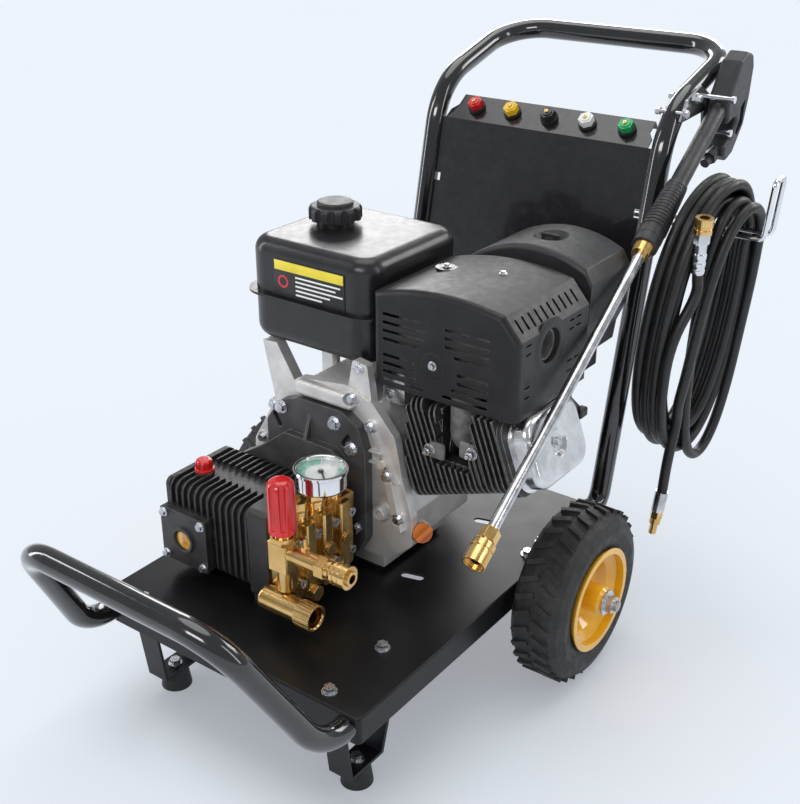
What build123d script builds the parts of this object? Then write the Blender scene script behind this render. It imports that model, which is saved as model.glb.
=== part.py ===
from build123d import *
import math
import os

# Petrol pressure washer on a two-wheeled cart. Millimetres, +Z up.
# Inside this file x = 0 is the cart's centre plane, y = 0 the deck's front edge and z = 0 the ground.
# +Y runs from the lifting bar to the push handle, +X to the side with the gun and the hose.
# Every node is moved by TO_ORIGIN when it is written, so that the origin is under the middle of the machine.

# Driving dimensions
ORIGIN_X = 22
ORIGIN_Y = 417
TUBE_RADIUS = 16
TUBE_WALL = 2
DECK_WIDTH = 452
DECK_LENGTH = 615
DECK_TOP = 172
DECK_SHEET = 3
DECK_FLANGE = 38
TYRE_RADIUS = 130
WHEEL_Y = 447
WHEEL_INNER_X = 230
WHEEL_OUTER_X = 312
AXLE_RADIUS = 10
AXLE_Z = TYRE_RADIUS
RUN_GAP = 0.05
ENGINE_X, ENGINE_Z = -50, 312
PUMP_X, PUMP_Z = -109, 252
GEAR_MODULE = 3
PINION_TEETH = 18
GEAR_TEETH = 38
CYLINDER_TILT = 20
PLUNGER_Y = (130, 165, 200)
COVER_Y = 258
HOSE_RADIUS = 8
HOSE_SOCKET = 7

TO_ORIGIN = Pos(-ORIGIN_X, -ORIGIN_Y, 0)
DECK_UNDER = DECK_TOP - DECK_SHEET
CENTRE_MIN = (Align.CENTER, Align.CENTER, Align.MIN)


# ---------------------------------------------------------------- helpers
def block(x0, x1, y0, y1, z0, z1):
    return Pos((x0 + x1) / 2, (y0 + y1) / 2, (z0 + z1) / 2) * Box(x1 - x0, y1 - y0, z1 - z0)


def soft_block(x0, x1, y0, y1, z0, z1, radius, axis=Axis.Z):
    body = block(x0, x1, y0, y1, z0, z1)
    return fillet(body.edges().filter_by(axis), radius)


def pill(x0, x1, y0, y1, z0, z1, radius):
    body = block(x0, x1, y0, y1, z0, z1)
    return fillet(body.edges(), radius)


def along(start, direction):
    return Plane(origin=start, z_dir=direction)


def rod(start, end, radius):
    start, end = Vector(*start), Vector(*end)
    return along(start, end - start) * Cylinder(radius, (end - start).length, align=CENTRE_MIN)


def cone(start, end, radius_start, radius_end):
    start, end = Vector(*start), Vector(*end)
    return along(start, end - start) * Cone(radius_start, radius_end, (end - start).length, align=CENTRE_MIN)


def pipe(start, end, outer, inner):
    start, end = Vector(*start), Vector(*end)
    grow = (end - start).normalized()
    return rod(start, end, outer) - rod(start - grow, end + grow, inner)


def hex_rod(start, end, flats):
    start, end = Vector(*start), Vector(*end)
    outline = RegularPolygon(flats / 2, 6, major_radius=False)
    return along(start, end - start) * extrude(outline, (end - start).length)


def bolt(seat, out, flats, shank_radius, shank_length):
    # hexagon bolt: washer, head and shank; out points from the seat to the head
    seat, out = Vector(*seat), Vector(*out).normalized()
    washer = rod(seat, seat + out * 1.6, flats * 0.78)
    head = hex_rod(seat + out * 1.6, seat + out * (1.6 + flats * 0.5), flats)
    shank = rod(seat - out * shank_length, seat, shank_radius)
    return washer + head + shank


def centre_line(points, radii):
    if len(points) == 2:
        return Line(*points)
    return FilletPolyline(*points, radius=radii)


def bent_tube(points, radii, outer, inner=None):
    path = centre_line(points, radii)
    start = Plane(origin=path @ 0, z_dir=path % 0)
    tube = sweep(start * Circle(outer), path=path)
    if inner:
        tube -= sweep(start * Circle(inner), path=path)
    return tube


def xz_shape(points, y0, y1, radius=0):
    # closed outline in the XZ plane, made solid from y0 to y1
    plane = Plane(origin=(0, y0, 0), x_dir=(1, 0, 0), z_dir=(0, -1, 0))
    face = plane * make_face(Polyline(*[(x, z) for x, z in points], close=True))
    body = extrude(face, -(y1 - y0))
    if radius:
        body = fillet(body.edges().filter_by(Axis.Y), radius)
    return body


def yz_shape(points, x0, x1, radius=0):
    plane = Plane(origin=(x0, 0, 0), x_dir=(0, 1, 0), z_dir=(1, 0, 0))
    face = plane * make_face(Polyline(*[(y, z) for y, z in points], close=True))
    body = extrude(face, x1 - x0)
    if radius:
        body = fillet(body.edges().filter_by(Axis.X), radius)
    return body


def ring_of(piece, count, centre, axis_direction):
    axis = Axis(centre, axis_direction)
    return [piece.rotate(axis, i * 360 / count) for i in range(count)]


def solid_list(pieces):
    found = []
    for piece in pieces:
        found += piece.solids() if hasattr(piece, "solids") else [piece]
    return Compound(children=found)


parts = {}


def add(name, *pieces):
    parts[name] = pieces[0] if len(pieces) == 1 else solid_list(pieces)


# ---------------------------------------------------------------- deck, tubes and panel
BUMPER_X = 206
RAIL_X = 201
RAIL_Z = DECK_UNDER - TUBE_RADIUS - 0.1
RAIL_START = 492
BEND_Y = 646
KNEE = (773, 749)
TOP_BAR = (990, 814)
DECK_BOLTS = [(164, 129), (164, 22), (-164, 129), (-164, 22), (200, 430), (200, 470), (-200, 430), (-200, 470)]
BOLT_RADIUS = 4
ENGINE_FEET_X = (-131, 31)
ENGINE_FEET_Y = (292, 397)


def make_deck():
    half = DECK_WIDTH / 2
    deck = soft_block(-half, half, 0, DECK_LENGTH, DECK_TOP - DECK_FLANGE, DECK_TOP, 8)
    deck = fillet(deck.faces().sort_by(Axis.Z)[-1].edges(), 3)
    t = DECK_SHEET
    deck -= soft_block(-half + t, half - t, t, DECK_LENGTH - t, DECK_TOP - DECK_FLANGE - 1, DECK_UNDER, 5)
    for side in (-1, 1):
        x = side * BUMPER_X
        deck -= rod((x, -1, RAIL_Z), (x, 8, RAIL_Z), TUBE_RADIUS + 0.3)
        x = side * RAIL_X
        deck -= block(x - 19, x + 19, 592, 640, DECK_TOP - DECK_FLANGE - 1, DECK_TOP + 1)
    deck -= rod((-half - 1, WHEEL_Y, AXLE_Z), (half + 1, WHEEL_Y, AXLE_Z), AXLE_RADIUS + 0.5)
    for x, y in DECK_BOLTS:
        deck -= rod((x, y, 160), (x, y, 180), BOLT_RADIUS)
    for x in ENGINE_FEET_X:
        for y in ENGINE_FEET_Y:
            deck -= rod((x, y, 160), (x, y, 180), BOLT_RADIUS)
    for x, y in ((100, 471), (98, 286)):
        deck -= Pos(x, y, DECK_TOP - 5) * extrude(SlotOverall(34, 13, rotation=15), 10)
    return deck


add("deck_plate", make_deck())

bumper_points = [
    (BUMPER_X, 110, RAIL_Z),
    (BUMPER_X, -46, RAIL_Z),
    (159, -155, 348),
    (-159, -155, 348),
    (-BUMPER_X, -46, RAIL_Z),
    (-BUMPER_X, 110, RAIL_Z),
]
bumper_radii = [70, 62, 62, 70]
add("front_bumper_tube", bent_tube(bumper_points, bumper_radii, TUBE_RADIUS, TUBE_RADIUS - TUBE_WALL))

handle_points = [
    (RAIL_X, RAIL_START, RAIL_Z),
    (RAIL_X, BEND_Y, RAIL_Z),
    (RAIL_X, *KNEE),
    (RAIL_X, *TOP_BAR),
    (-RAIL_X, *TOP_BAR),
    (-RAIL_X, *KNEE),
    (-RAIL_X, BEND_Y, RAIL_Z),
    (-RAIL_X, RAIL_START, RAIL_Z),
]
handle_radii = [36, 110, 75, 75, 110, 36]
HOOK_BOLTS = [(783, 750), (826, 765)]
RACK_BOLT = (742, 604)
handle = bent_tube(handle_points, handle_radii, TUBE_RADIUS, TUBE_RADIUS - TUBE_WALL)
for y, z in HOOK_BOLTS + [RACK_BOLT]:
    handle -= rod((180, y, z), (225, y, z), 3)
add("handle_frame_tube", handle)

# The panel lies in the plane of the legs and folds back into a shelf that holds the nozzles.
LEG_SLOPE = (KNEE[0] - BEND_Y) / (KNEE[1] - RAIL_Z)
PANEL_TOP = (759, 699)
SHELF_END = (802, 729)
PANEL_BOTTOM_Z = 478
PANEL_HALF = 184.9
SHELF_HALF = 170
SHELF_UP = Vector(0, PANEL_TOP[1] - SHELF_END[1], SHELF_END[0] - PANEL_TOP[0]).normalized()
SHELF_MIDDLE = Vector(0, 781.5, 714.7)
NOZZLE_X = (-134, -67, 0, 67, 134)
GROMMET_RADIUS = 9.9
PLUG_RADIUS = 5.9
SOCKET_RADIUS = 6


def make_panel():
    bottom_y = PANEL_TOP[0] - (PANEL_TOP[1] - PANEL_BOTTOM_Z) * LEG_SLOPE
    sheet = 2
    upright = yz_shape(
        [(bottom_y, PANEL_BOTTOM_Z), (bottom_y + sheet, PANEL_BOTTOM_Z), (PANEL_TOP[0] + sheet, PANEL_TOP[1] - 1.5),
         (PANEL_TOP[0], PANEL_TOP[1])],
        -PANEL_HALF, PANEL_HALF)
    plane = Plane(origin=(0, *PANEL_TOP), x_dir=(1, 0, 0), z_dir=tuple(SHELF_UP))
    depth = math.dist(PANEL_TOP, SHELF_END)
    outline = Polyline(
        (-PANEL_HALF + 5, 0), (PANEL_HALF - 5, 0), (PANEL_HALF - 6, 18), (SHELF_HALF, 30), (SHELF_HALF, depth),
        (-SHELF_HALF, depth), (-SHELF_HALF, 30), (-PANEL_HALF + 6, 18), close=True)
    shelf = plane * extrude(make_face(outline), -sheet)
    lip_plane = plane * Pos(0, depth, 0)
    lip = lip_plane * block(-SHELF_HALF, SHELF_HALF, -sheet, 0, -14, 0)
    panel = upright + shelf + lip
    for x in NOZZLE_X:
        middle = SHELF_MIDDLE + Vector(x, 0, 0)
        panel -= rod(middle - SHELF_UP * 8, middle + SHELF_UP * 8, GROMMET_RADIUS + 0.1)
    for side in (-1, 1):
        panel -= rod((side * 176, *RACK_BOLT), (side * 187, *RACK_BOLT), 7)
    return panel


add("handle_panel", make_panel())

grommets = []
for x in NOZZLE_X:
    middle = SHELF_MIDDLE + Vector(x, 0, 0)
    collar = rod(middle + SHELF_UP * 0.2, middle + SHELF_UP * 4, 14)
    collar += rod(middle - SHELF_UP * 6, middle + SHELF_UP * 0.3, GROMMET_RADIUS)
    collar -= rod(middle - SHELF_UP * 8, middle + SHELF_UP * 8, SOCKET_RADIUS)
    grommets.append(collar)
add("nozzle_grommets", *grommets)


def make_nozzle(x):
    # quick-connect spray tip: coloured six-sided cap with a steel stem and a spray slot
    middle = SHELF_MIDDLE + Vector(x, 0, 0)
    cap = hex_rod(middle + SHELF_UP * 4.5, middle + SHELF_UP * 15, 21)
    cap += rod(middle + SHELF_UP * 15, middle + SHELF_UP * 17, 8)
    stem = rod(middle - SHELF_UP * 14, middle + SHELF_UP * 5, PLUG_RADIUS)
    stem -= pipe(middle - SHELF_UP * 10, middle - SHELF_UP * 8, PLUG_RADIUS + 2, PLUG_RADIUS - 1.2)
    return cap + stem - rod(middle + SHELF_UP * 12, middle + SHELF_UP * 18, 3.2)


for colour, x in zip(("red", "yellow", "black", "white", "green"), NOZZLE_X):
    add("nozzle_" + colour, make_nozzle(x))

# ---------------------------------------------------------------- brackets, feet, axle
FOOT_X = 167
FOOT_Y = 68
STRIP = 4


def make_foot_bracket(x):
    outer = [(16, DECK_UNDER - 0.1), (34, 30), (102, 30), (142, DECK_UNDER - 0.1)]
    inner = [(16 + STRIP, DECK_UNDER - 0.1), (34 + STRIP, 30 + STRIP), (102 - STRIP, 30 + STRIP),
             (142 - STRIP, DECK_UNDER - 0.1)]
    strip = yz_shape(outer, x - 18, x + 18) - yz_shape(inner, x - 19, x + 19)
    front_tab = block(x - 18, x + 18, 12, 36, DECK_UNDER - STRIP, DECK_UNDER - 0.1)
    rear_tab = block(x - 18, x + 18, 118, 144, DECK_UNDER - STRIP, DECK_UNDER - 0.1)
    bracket = strip + front_tab + rear_tab
    for y in (22, 129):
        bracket -= rod((x * 164 / FOOT_X, y, 150), (x * 164 / FOOT_X, y, 175), BOLT_RADIUS)
    return bracket - rod((x, FOOT_Y, 20), (x, FOOT_Y, 50), BOLT_RADIUS)


def make_axle_bracket(side):
    x = side * 200
    plate = block(x - 14, x + 14, 416, 482, DECK_UNDER - 4.1, DECK_UNDER - 0.1)
    cheeks = [block(x + dx - 2, x + dx + 2, 422, 472, 112, DECK_UNDER - 4) for dx in (-12, 12)]
    bracket = plate + cheeks[0] + cheeks[1]
    bracket -= rod((x - 20, WHEEL_Y, AXLE_Z), (x + 20, WHEEL_Y, AXLE_Z), AXLE_RADIUS + 0.02)
    for y in (430, 470):
        bracket -= rod((x, y, 150), (x, y, 175), BOLT_RADIUS)
    return bracket


RAIL_HEIGHT = 8


def make_engine_rail(x):
    rail = soft_block(x - 20, x + 20, 268, 420, DECK_TOP + 0.1, DECK_TOP + RAIL_HEIGHT, 6)
    for y in ENGINE_FEET_Y:
        rail -= rod((x, y, 170), (x, y, 190), BOLT_RADIUS)
    return rail


brackets = [make_foot_bracket(-FOOT_X), make_foot_bracket(FOOT_X), make_axle_bracket(-1), make_axle_bracket(1)]
brackets += [make_engine_rail(x) for x in ENGINE_FEET_X]
add("mounting_brackets", *brackets)

feet = []
for side in (-1, 1):
    foot = cone((side * FOOT_X, FOOT_Y, 0), (side * FOOT_X, FOOT_Y, 29.9), 22, 18)
    feet.append(foot - rod((side * FOOT_X, FOOT_Y, 18), (side * FOOT_X, FOOT_Y, 40), BOLT_RADIUS))
add("rubber_feet", *feet)

frame_bolts = [bolt((x, y, DECK_TOP), (0, 0, 1), 13, BOLT_RADIUS, 15) for x, y in DECK_BOLTS]
frame_bolts += [
    bolt((side * FOOT_X, FOOT_Y, 30 + STRIP), (0, 0, 1), 13, BOLT_RADIUS, 15) for side in (-1, 1)]
for y, z in HOOK_BOLTS + [RACK_BOLT]:
    frame_bolts.append(bolt((221, y, z), (1, 0, 0), 10, 3, 44))
    nut = hex_rod((177, y, z), (184, y, z), 10) - rod((176, y, z), (185, y, z), 3)
    frame_bolts.append(nut)
for side in (-1, 1):
    seat = side * 322
    washer = pipe((seat, WHEEL_Y, AXLE_Z), (seat + side * 2.5, WHEEL_Y, AXLE_Z), 19, 8)
    nut = hex_rod((seat + side * 2.5, WHEEL_Y, AXLE_Z), (seat + side * 13, WHEEL_Y, AXLE_Z), 24)
    nut -= rod((seat, WHEEL_Y, AXLE_Z), (seat + side * 20, WHEEL_Y, AXLE_Z), 8)
    frame_bolts.append(washer + nut)
add("frame_bolts", *frame_bolts)

axle = rod((-321.9, WHEEL_Y, AXLE_Z), (321.9, WHEEL_Y, AXLE_Z), AXLE_RADIUS)
for side in (-1, 1):
    axle += rod((side * 321, WHEEL_Y, AXLE_Z), (side * 341, WHEEL_Y, AXLE_Z), 8)
add("axle", axle)


# ---------------------------------------------------------------- wheels
def turned(points, side):
    # x is measured outwards along the axle from the wheel's inner face
    outline = [(side * (WHEEL_INNER_X + x), WHEEL_Y + r) for x, r in points]
    face = make_face(Polyline(*outline, close=True))
    body = revolve(face, Axis((0, WHEEL_Y, 0), (1, 0, 0)), 360)
    return Pos(0, 0, AXLE_Z) * body


TYRE_WIDTH = WHEEL_OUTER_X - WHEEL_INNER_X
RIM_RADIUS = 72


def make_tyre(side):
    w = TYRE_WIDTH
    outer = [(6, RIM_RADIUS), (2, 84), (0, 100), (5, 116), (14, 123.5), (28, 126), (w - 28, 126), (w - 14, 123.5),
             (w - 5, 116), (w, 100), (w - 2, 84), (w - 6, RIM_RADIUS)]
    cavity = [(10, RIM_RADIUS), (9, 100), (16, 114), (30, 118), (w - 30, 118), (w - 16, 114), (w - 9, 100),
              (w - 10, RIM_RADIUS)]
    tyre = turned(outer + cavity[::-1], side)
    blocks = []
    count = 32
    for i in range(count):
        angle = i * 360 / count
        for lane, skew in ((-1, 24), (1, -24)):
            lug = Box(27, 8, 10.3)
            lug = Rot(0, 0, skew) * lug
            x = side * (WHEEL_INNER_X + w / 2 + lane * 15)
            lug = Pos(x, WHEEL_Y, AXLE_Z + TYRE_RADIUS - 5.15) * lug
            lug = lug.rotate(Axis((0, WHEEL_Y, AXLE_Z), (1, 0, 0)), angle + (0 if lane < 0 else 180 / count))
            blocks.append(lug)
    tyre = tyre + blocks
    return tyre & pipe((side * 229, WHEEL_Y, AXLE_Z), (side * 313, WHEEL_Y, AXLE_Z), TYRE_RADIUS, RIM_RADIUS - 5)


def make_rim_solid(side):
    # pressed rim: outer barrel with flanges, a dished disc and a long hub with the bearings
    w = TYRE_WIDTH
    flange = RIM_RADIUS - 0.2
    barrel = turned([(2, flange - 3), (w - 2, flange - 3), (w - 2, flange), (2, flange)], side)
    bead_in = turned([(0.6, flange - 3), (3, flange - 3), (3, flange), (0.6, flange)], side)
    bead_out = turned([(w - 5.8, flange - 3), (w + 2, flange - 3), (w + 2, flange + 6), (w, flange + 6),
                       (w - 0.2, flange)], side)
    disc = turned([(w - 14, flange - 2), (w - 22, 58), (w - 36, 50), (w - 36, 18), (w - 32, 18), (w - 32, 47),
                   (w - 19, 55), (w - 9, flange - 2)], side)
    hub = turned([(w - 62, AXLE_RADIUS + RUN_GAP), (w + 9.5, AXLE_RADIUS + RUN_GAP), (w + 9.5, 17), (w + 4, 21),
                  (w - 62, 21)], side)
    return barrel + bead_in + bead_out + disc + hub


for side_name, side in (("left", -1), ("right", 1)):
    add("tyre_" + side_name, make_tyre(side))
    add("rim_" + side_name, make_rim_solid(side))

# ---------------------------------------------------------------- plunger pump
CASE_X = (-184, -34)
CASE_Y = (100, 230)
CASE_Z = (186, 320)
FLANGE_X = -3
CRANK_THROW = 10
SHAFT_RADIUS = 12
PLUNGER_RADIUS = 9
COVER_CENTRE = (-147, 240)
COVER_BOLTS = [(-182, 208), (-112, 208), (-182, 274), (-112, 274)]
OIL_CAP = (-158, 147)


def make_pump_crankcase():
    x0, x1 = CASE_X
    case = soft_block(x0, x1, 107, 229.9, 193, 313, 12, Axis.X)
    fin_count = 13
    for i in range(fin_count):
        x = x0 + 5 + i * (x1 - x0 - 10) / (fin_count - 1)
        case += soft_block(x - 1.4, x + 1.4, CASE_Y[0], 229.9, CASE_Z[0] + 10, CASE_Z[1], 17, Axis.X)
    case -= block(x0 - 1, x1 + 1, 148, 181, 313, 325)
    case += soft_block(x0 - 5, x0 + 1, 102, 228, CASE_Z[0], CASE_Z[1] - 2, 10, Axis.X)
    case += soft_block(x1 - 2, FLANGE_X, 100, 229.9, CASE_Z[0] + 2, CASE_Z[1] + 2, 9, Axis.X)
    case += block(x1 - 4, FLANGE_X - 8, 108, 150, DECK_TOP + 0.1, CASE_Z[0] + 6)
    case += block(x1 - 4, FLANGE_X - 8, 186, 226, DECK_TOP + 0.1, CASE_Z[0] + 6)
    case += block(x0 + 2, x0 + 30, 144, 212, DECK_TOP + 0.1, CASE_Z[0] + 10)
    case += soft_block(-190, -104, 96, 112, 200, 282, 5, Axis.Y)
    case += rod((*OIL_CAP, 305), (*OIL_CAP, 321), 14)
    case -= block(-150, -66, 112, 222, 212, 292)
    case -= rod((PUMP_X, 104, PUMP_Z), (PUMP_X, 231, PUMP_Z), SHAFT_RADIUS + RUN_GAP)
    for y in PLUNGER_Y:
        case -= rod((-70, y, PUMP_Z), (FLANGE_X + 1, y, PUMP_Z), PLUNGER_RADIUS + RUN_GAP)
    for x, z in COVER_BOLTS:
        case -= rod((x, 88, z), (x, 108, z), 2.5)
    return case - rod((*OIL_CAP, 300), (*OIL_CAP, 322), 6 + RUN_GAP)


add("pump_crankcase", make_pump_crankcase())

cover = soft_block(-190, -104, 88, 95.9, 200, 282, 5, Axis.Y)
cover += pipe((COVER_CENTRE[0], 85, COVER_CENTRE[1]), (COVER_CENTRE[0], 89, COVER_CENTRE[1]), 19, 15)
cover -= rod((COVER_CENTRE[0], 84, COVER_CENTRE[1]), (COVER_CENTRE[0], 91, COVER_CENTRE[1]), 15)
for x, z in COVER_BOLTS:
    cover -= rod((x, 87, z), (x, 97, z), 2.5)
add("pump_front_cover", cover)

oil_cap = rod((*OIL_CAP, 321.2), (*OIL_CAP, 324), 14)
oil_cap += fillet(rod((*OIL_CAP, 324), (*OIL_CAP, 338), 12).edges().sort_by(Axis.Z)[-1], 5)
for slot in ring_of(block(OIL_CAP[0] + 11, OIL_CAP[0] + 14, OIL_CAP[1] - 1.5, OIL_CAP[1] + 1.5, 325, 340), 10,
                    (*OIL_CAP, 0), (0, 0, 1)):
    oil_cap -= slot
oil_cap += rod((*OIL_CAP, 306), (*OIL_CAP, 322), 6)
add("pump_oil_cap", oil_cap)

GEAR_Y = (238, 252)


def gear_outline(teeth, start_angle):
    # trapezoid teeth with a little backlash: root, flank, tip, flank
    pitch = GEAR_MODULE * teeth / 2
    half_root, half_pitch, half_tip = 0.345, 0.225, 0.095
    step = 2 * math.pi / teeth
    corners = []
    for i in range(teeth):
        middle = math.radians(start_angle) + i * step
        for share, radius in ((-half_root, pitch - 3.9), (-half_pitch, pitch), (-half_tip, pitch + 2.5),
                              (half_tip, pitch + 2.5), (half_pitch, pitch), (half_root, pitch - 3.9)):
            angle = middle + share * step
            corners.append((radius * math.cos(angle), radius * math.sin(angle)))
    return corners


def make_gear(teeth, start_angle, x, z):
    corners = [(x + a, z + b) for a, b in gear_outline(teeth, start_angle)]
    return xz_shape(corners, GEAR_Y[0], GEAR_Y[1])


# The driven gear has a tooth on the line of centres and the pinion a gap.
MESH_ANGLE = math.degrees(math.atan2(ENGINE_Z - PUMP_Z, ENGINE_X - PUMP_X))


def make_pump_crankshaft():
    shaft = rod((PUMP_X, 106, PUMP_Z), (PUMP_X, 253, PUMP_Z), SHAFT_RADIUS)
    for i, y in enumerate(PLUNGER_Y):
        angle = math.radians(i * 120 + 90)
        middle = (PUMP_X + CRANK_THROW * math.cos(angle), PUMP_Z + CRANK_THROW * math.sin(angle))
        shaft += rod((middle[0], y - 9, middle[1]), (middle[0], y + 9, middle[1]), 23)
    gear = make_gear(GEAR_TEETH, MESH_ANGLE, PUMP_X, PUMP_Z)
    for hole in ring_of(rod((PUMP_X + 34, 237, PUMP_Z), (PUMP_X + 34, 253, PUMP_Z), 9), 6,
                        (PUMP_X, 0, PUMP_Z), (0, 1, 0)):
        gear -= hole
    return shaft + gear


add("pump_crankshaft", make_pump_crankshaft())
add("pump_plungers", *[rod((-66, y, PUMP_Z), (12, y, PUMP_Z), PLUNGER_RADIUS) for y in PLUNGER_Y])

HEAD_X = (-2.9, 50)
HEAD_BOLTS = [(y, z) for z in (232, 292) for y in (113, 147.5, 182.5, 217)]
CAP_X = 24
COLUMN_HALF = 10
UNLOADER = (38, 88)
OUTLET_Z = 294
INLET_Y, INLET_Z = 80, 217
INLET_THREAD = 13.2


def make_pump_head():
    x0, x1 = HEAD_X
    head = soft_block(x0, 40, 104, 226, 206, 318, 6, Axis.X)
    for y in PLUNGER_Y:
        head += soft_block(30, x1, y - COLUMN_HALF, y + COLUMN_HALF, 208, 316, 4, Axis.Z)
        head += rod((CAP_X, y, 312), (CAP_X, y, 327), 15.5)
        head += rod((40, y, 262), (54, y, 262), 9)
    head += soft_block(8, 40, 226, 240, 286, 318, 5, Axis.Y) - block(0, 60, 229, 245, 280, 330)
    for y in PLUNGER_Y:
        head -= rod((x0 - 1, y, PUMP_Z), (20, y, PUMP_Z), PLUNGER_RADIUS + 0.3)
        head -= rod((CAP_X, y, 262), (CAP_X, y, 330), 9)
    for y, z in HEAD_BOLTS:
        head -= rod((x0 - 1, y, z), (60, y, z), 3)
    # suction gallery along the bottom, with the inlet branch that turns to +X
    head += rod((18, 106, 212), (18, 224, 212), 12)
    head += rod((18, 106, 212), (18, INLET_Y, INLET_Z), 13)
    head += fillet(rod((6, INLET_Y, INLET_Z), (70, INLET_Y, INLET_Z), 16).edges().sort_by(Axis.X)[0], 6)
    head -= rod((30, INLET_Y, INLET_Z), (71, INLET_Y, INLET_Z), 11)
    head += rod((62, INLET_Y, INLET_Z), (74, INLET_Y, INLET_Z), 14.5)
    head -= rod((30, INLET_Y, INLET_Z), (76, INLET_Y, INLET_Z), 11)
    head += hex_rod((20, 190, 212), (62, 190, 212), 20)
    head += hex_rod((20, 130, 212), (58, 130, 212), 20)
    return head


add("pump_head", make_pump_head())


def make_inlet_cap():
    # knurled swivel nut with the filter washer
    cap = pipe((70.2, INLET_Y, INLET_Z), (96, INLET_Y, INLET_Z), 17.5, INLET_THREAD)
    cap -= rod((70, INLET_Y, INLET_Z), (74.3, INLET_Y, INLET_Z), 14.5 + RUN_GAP)
    for groove in ring_of(rod((68, INLET_Y + 18.2, INLET_Z), (98, INLET_Y + 18.2, INLET_Z), 1.3), 24,
                          (0, INLET_Y, INLET_Z), (1, 0, 0)):
        cap -= groove
    return cap - cone((94, INLET_Y, INLET_Z), (97, INLET_Y, INLET_Z), INLET_THREAD, 16)


add("inlet_cap", make_inlet_cap())

valve_caps = []
for y in PLUNGER_Y:
    cap = rod((CAP_X, y, 327.1), (CAP_X, y, 331), 16.5) + hex_rod((CAP_X, y, 331), (CAP_X, y, 343), 27)
    cap += rod((CAP_X, y, 316), (CAP_X, y, 328), 8.9)
    if y == PLUNGER_Y[1]:
        cap -= rod((CAP_X, y, 335), (CAP_X, y, 345), 6)
    else:
        cap -= hex_rod((CAP_X, y, 338), (CAP_X, y, 345), 12)
    valve_caps.append(cap)
add("valve_caps", *valve_caps)


def make_unloader():
    x, y = UNLOADER
    body = soft_block(x - 17, x + 15, y - 14, 103.9, 268, 308, 4, Axis.Z)
    body += block(x - 26, x + 8, 92, 103.9, 232, 300)
    body += rod((x, y, INLET_Z + 18), (x, y, 282), 9.5)
    body += hex_rod((x, y, 300), (x, y, 316), 27) + rod((x, y, 312), (x, y, 326), 11)
    body += rod((x, y, OUTLET_Z), (118, y, OUTLET_Z), 12) + hex_rod((98, y, OUTLET_Z), (112, y, OUTLET_Z), 27)
    body += rod((110, y, OUTLET_Z), (150, y, OUTLET_Z), 10)
    body += hex_rod((74, y + 2, OUTLET_Z + 8), (74, y + 2, OUTLET_Z + 18), 11)
    body += rod((74, y + 2, OUTLET_Z + 18), (74, y + 2, OUTLET_Z + 27), 3)
    body -= rod((60, y, OUTLET_Z), (151, y, OUTLET_Z), SOCKET_RADIUS)
    return body


add("unloader_body", make_unloader())


def make_knob():
    x, y = UNLOADER
    knob = rod((x, y, 322), (x, y, 398), 18.5)
    knob = fillet(knob.edges().sort_by(Axis.Z)[-1], 12)
    knob = fillet(knob.edges().sort_by(Axis.Z)[0], 2)
    for flute in ring_of(cone((x + 20.5, y, 330), (x + 17.2, y, 400), 4, 5), 8, (x, y, 0), (0, 0, 1)):
        knob -= flute
    knob -= rod((x, y, 320), (x, y, 327), 15.7) - rod((x, y, 319), (x, y, 328), 11 + RUN_GAP)
    return knob - rod((x, y, 320), (x, y, 330), 11 + RUN_GAP)


add("unloader_knob", make_knob())

collar = pipe((124, UNLOADER[1], OUTLET_Z), (146, UNLOADER[1], OUTLET_Z), 15.5, 10 + RUN_GAP)
collar -= pipe((128, UNLOADER[1], OUTLET_Z), (132, UNLOADER[1], OUTLET_Z), 17, 14)
collar -= pipe((136, UNLOADER[1], OUTLET_Z), (138, UNLOADER[1], OUTLET_Z), 17, 14.4)
add("outlet_collar", collar)

GAUGE = (40, PLUNGER_Y[1] - 2)
GAUGE_Z = (354, 382)


def make_gauge():
    x, y = GAUGE
    low, high = GAUGE_Z
    case = fillet(rod((x, y, low), (x, y, high), 34).edges().sort_by(Axis.Z)[0], 4)
    case += pipe((x, y, high - 4), (x, y, high), 36, 31)
    case -= rod((x, y, high - 9), (x, y, high + 1), 31)
    case += rod((x, y, high - 10), (x, y, high - 4.5), 1.6)
    stem = hex_rod((CAP_X, PLUNGER_Y[1], 343.1), (CAP_X, PLUNGER_Y[1], low + 1), 14)
    stem += rod((CAP_X, PLUNGER_Y[1], 336), (CAP_X, PLUNGER_Y[1], 344), 5.9)
    return case + stem


add("pressure_gauge", make_gauge())

needle = rod((*GAUGE, GAUGE_Z[1] - 7), (*GAUGE, GAUGE_Z[1] - 5), 4)
pointer = Pos(GAUGE[0] + 9, GAUGE[1] - 7, GAUGE_Z[1] - 6) * Rot(0, 0, -38) * Box(34, 1.6, 1.2)
needle = needle + pointer - rod((*GAUGE, GAUGE_Z[1] - 12), (*GAUGE, GAUGE_Z[1]), 1.6 + RUN_GAP)
add("gauge_needle", needle)

# ---------------------------------------------------------------- reduction gearbox
PLATE_OUTLINE = [(-124, 330), (-124, 373), (-100, 408), (-66, 421), (11, 422), (39, 404), (50, 370), (50, 236),
                 (30, 205), (-40, 181), (-130, 181), (-182, 215), (-182, 300)]
BOSS_OUTLINE = [(-180, 215), (-130, 183), (-40, 183), (-6, 198), (-6, 326), (20, 352), (2, 366), (-82, 368),
                (-125, 335), (-180, 300)]
PLATE_BOLTS = [(-95, 400), (0, 402), (28, 372), (34, 250)]
SIDE_BOLTS = [(50, 406), (77, 340), (96, 280), (-146, 332), (-122, 391), (20, 440)]


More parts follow.
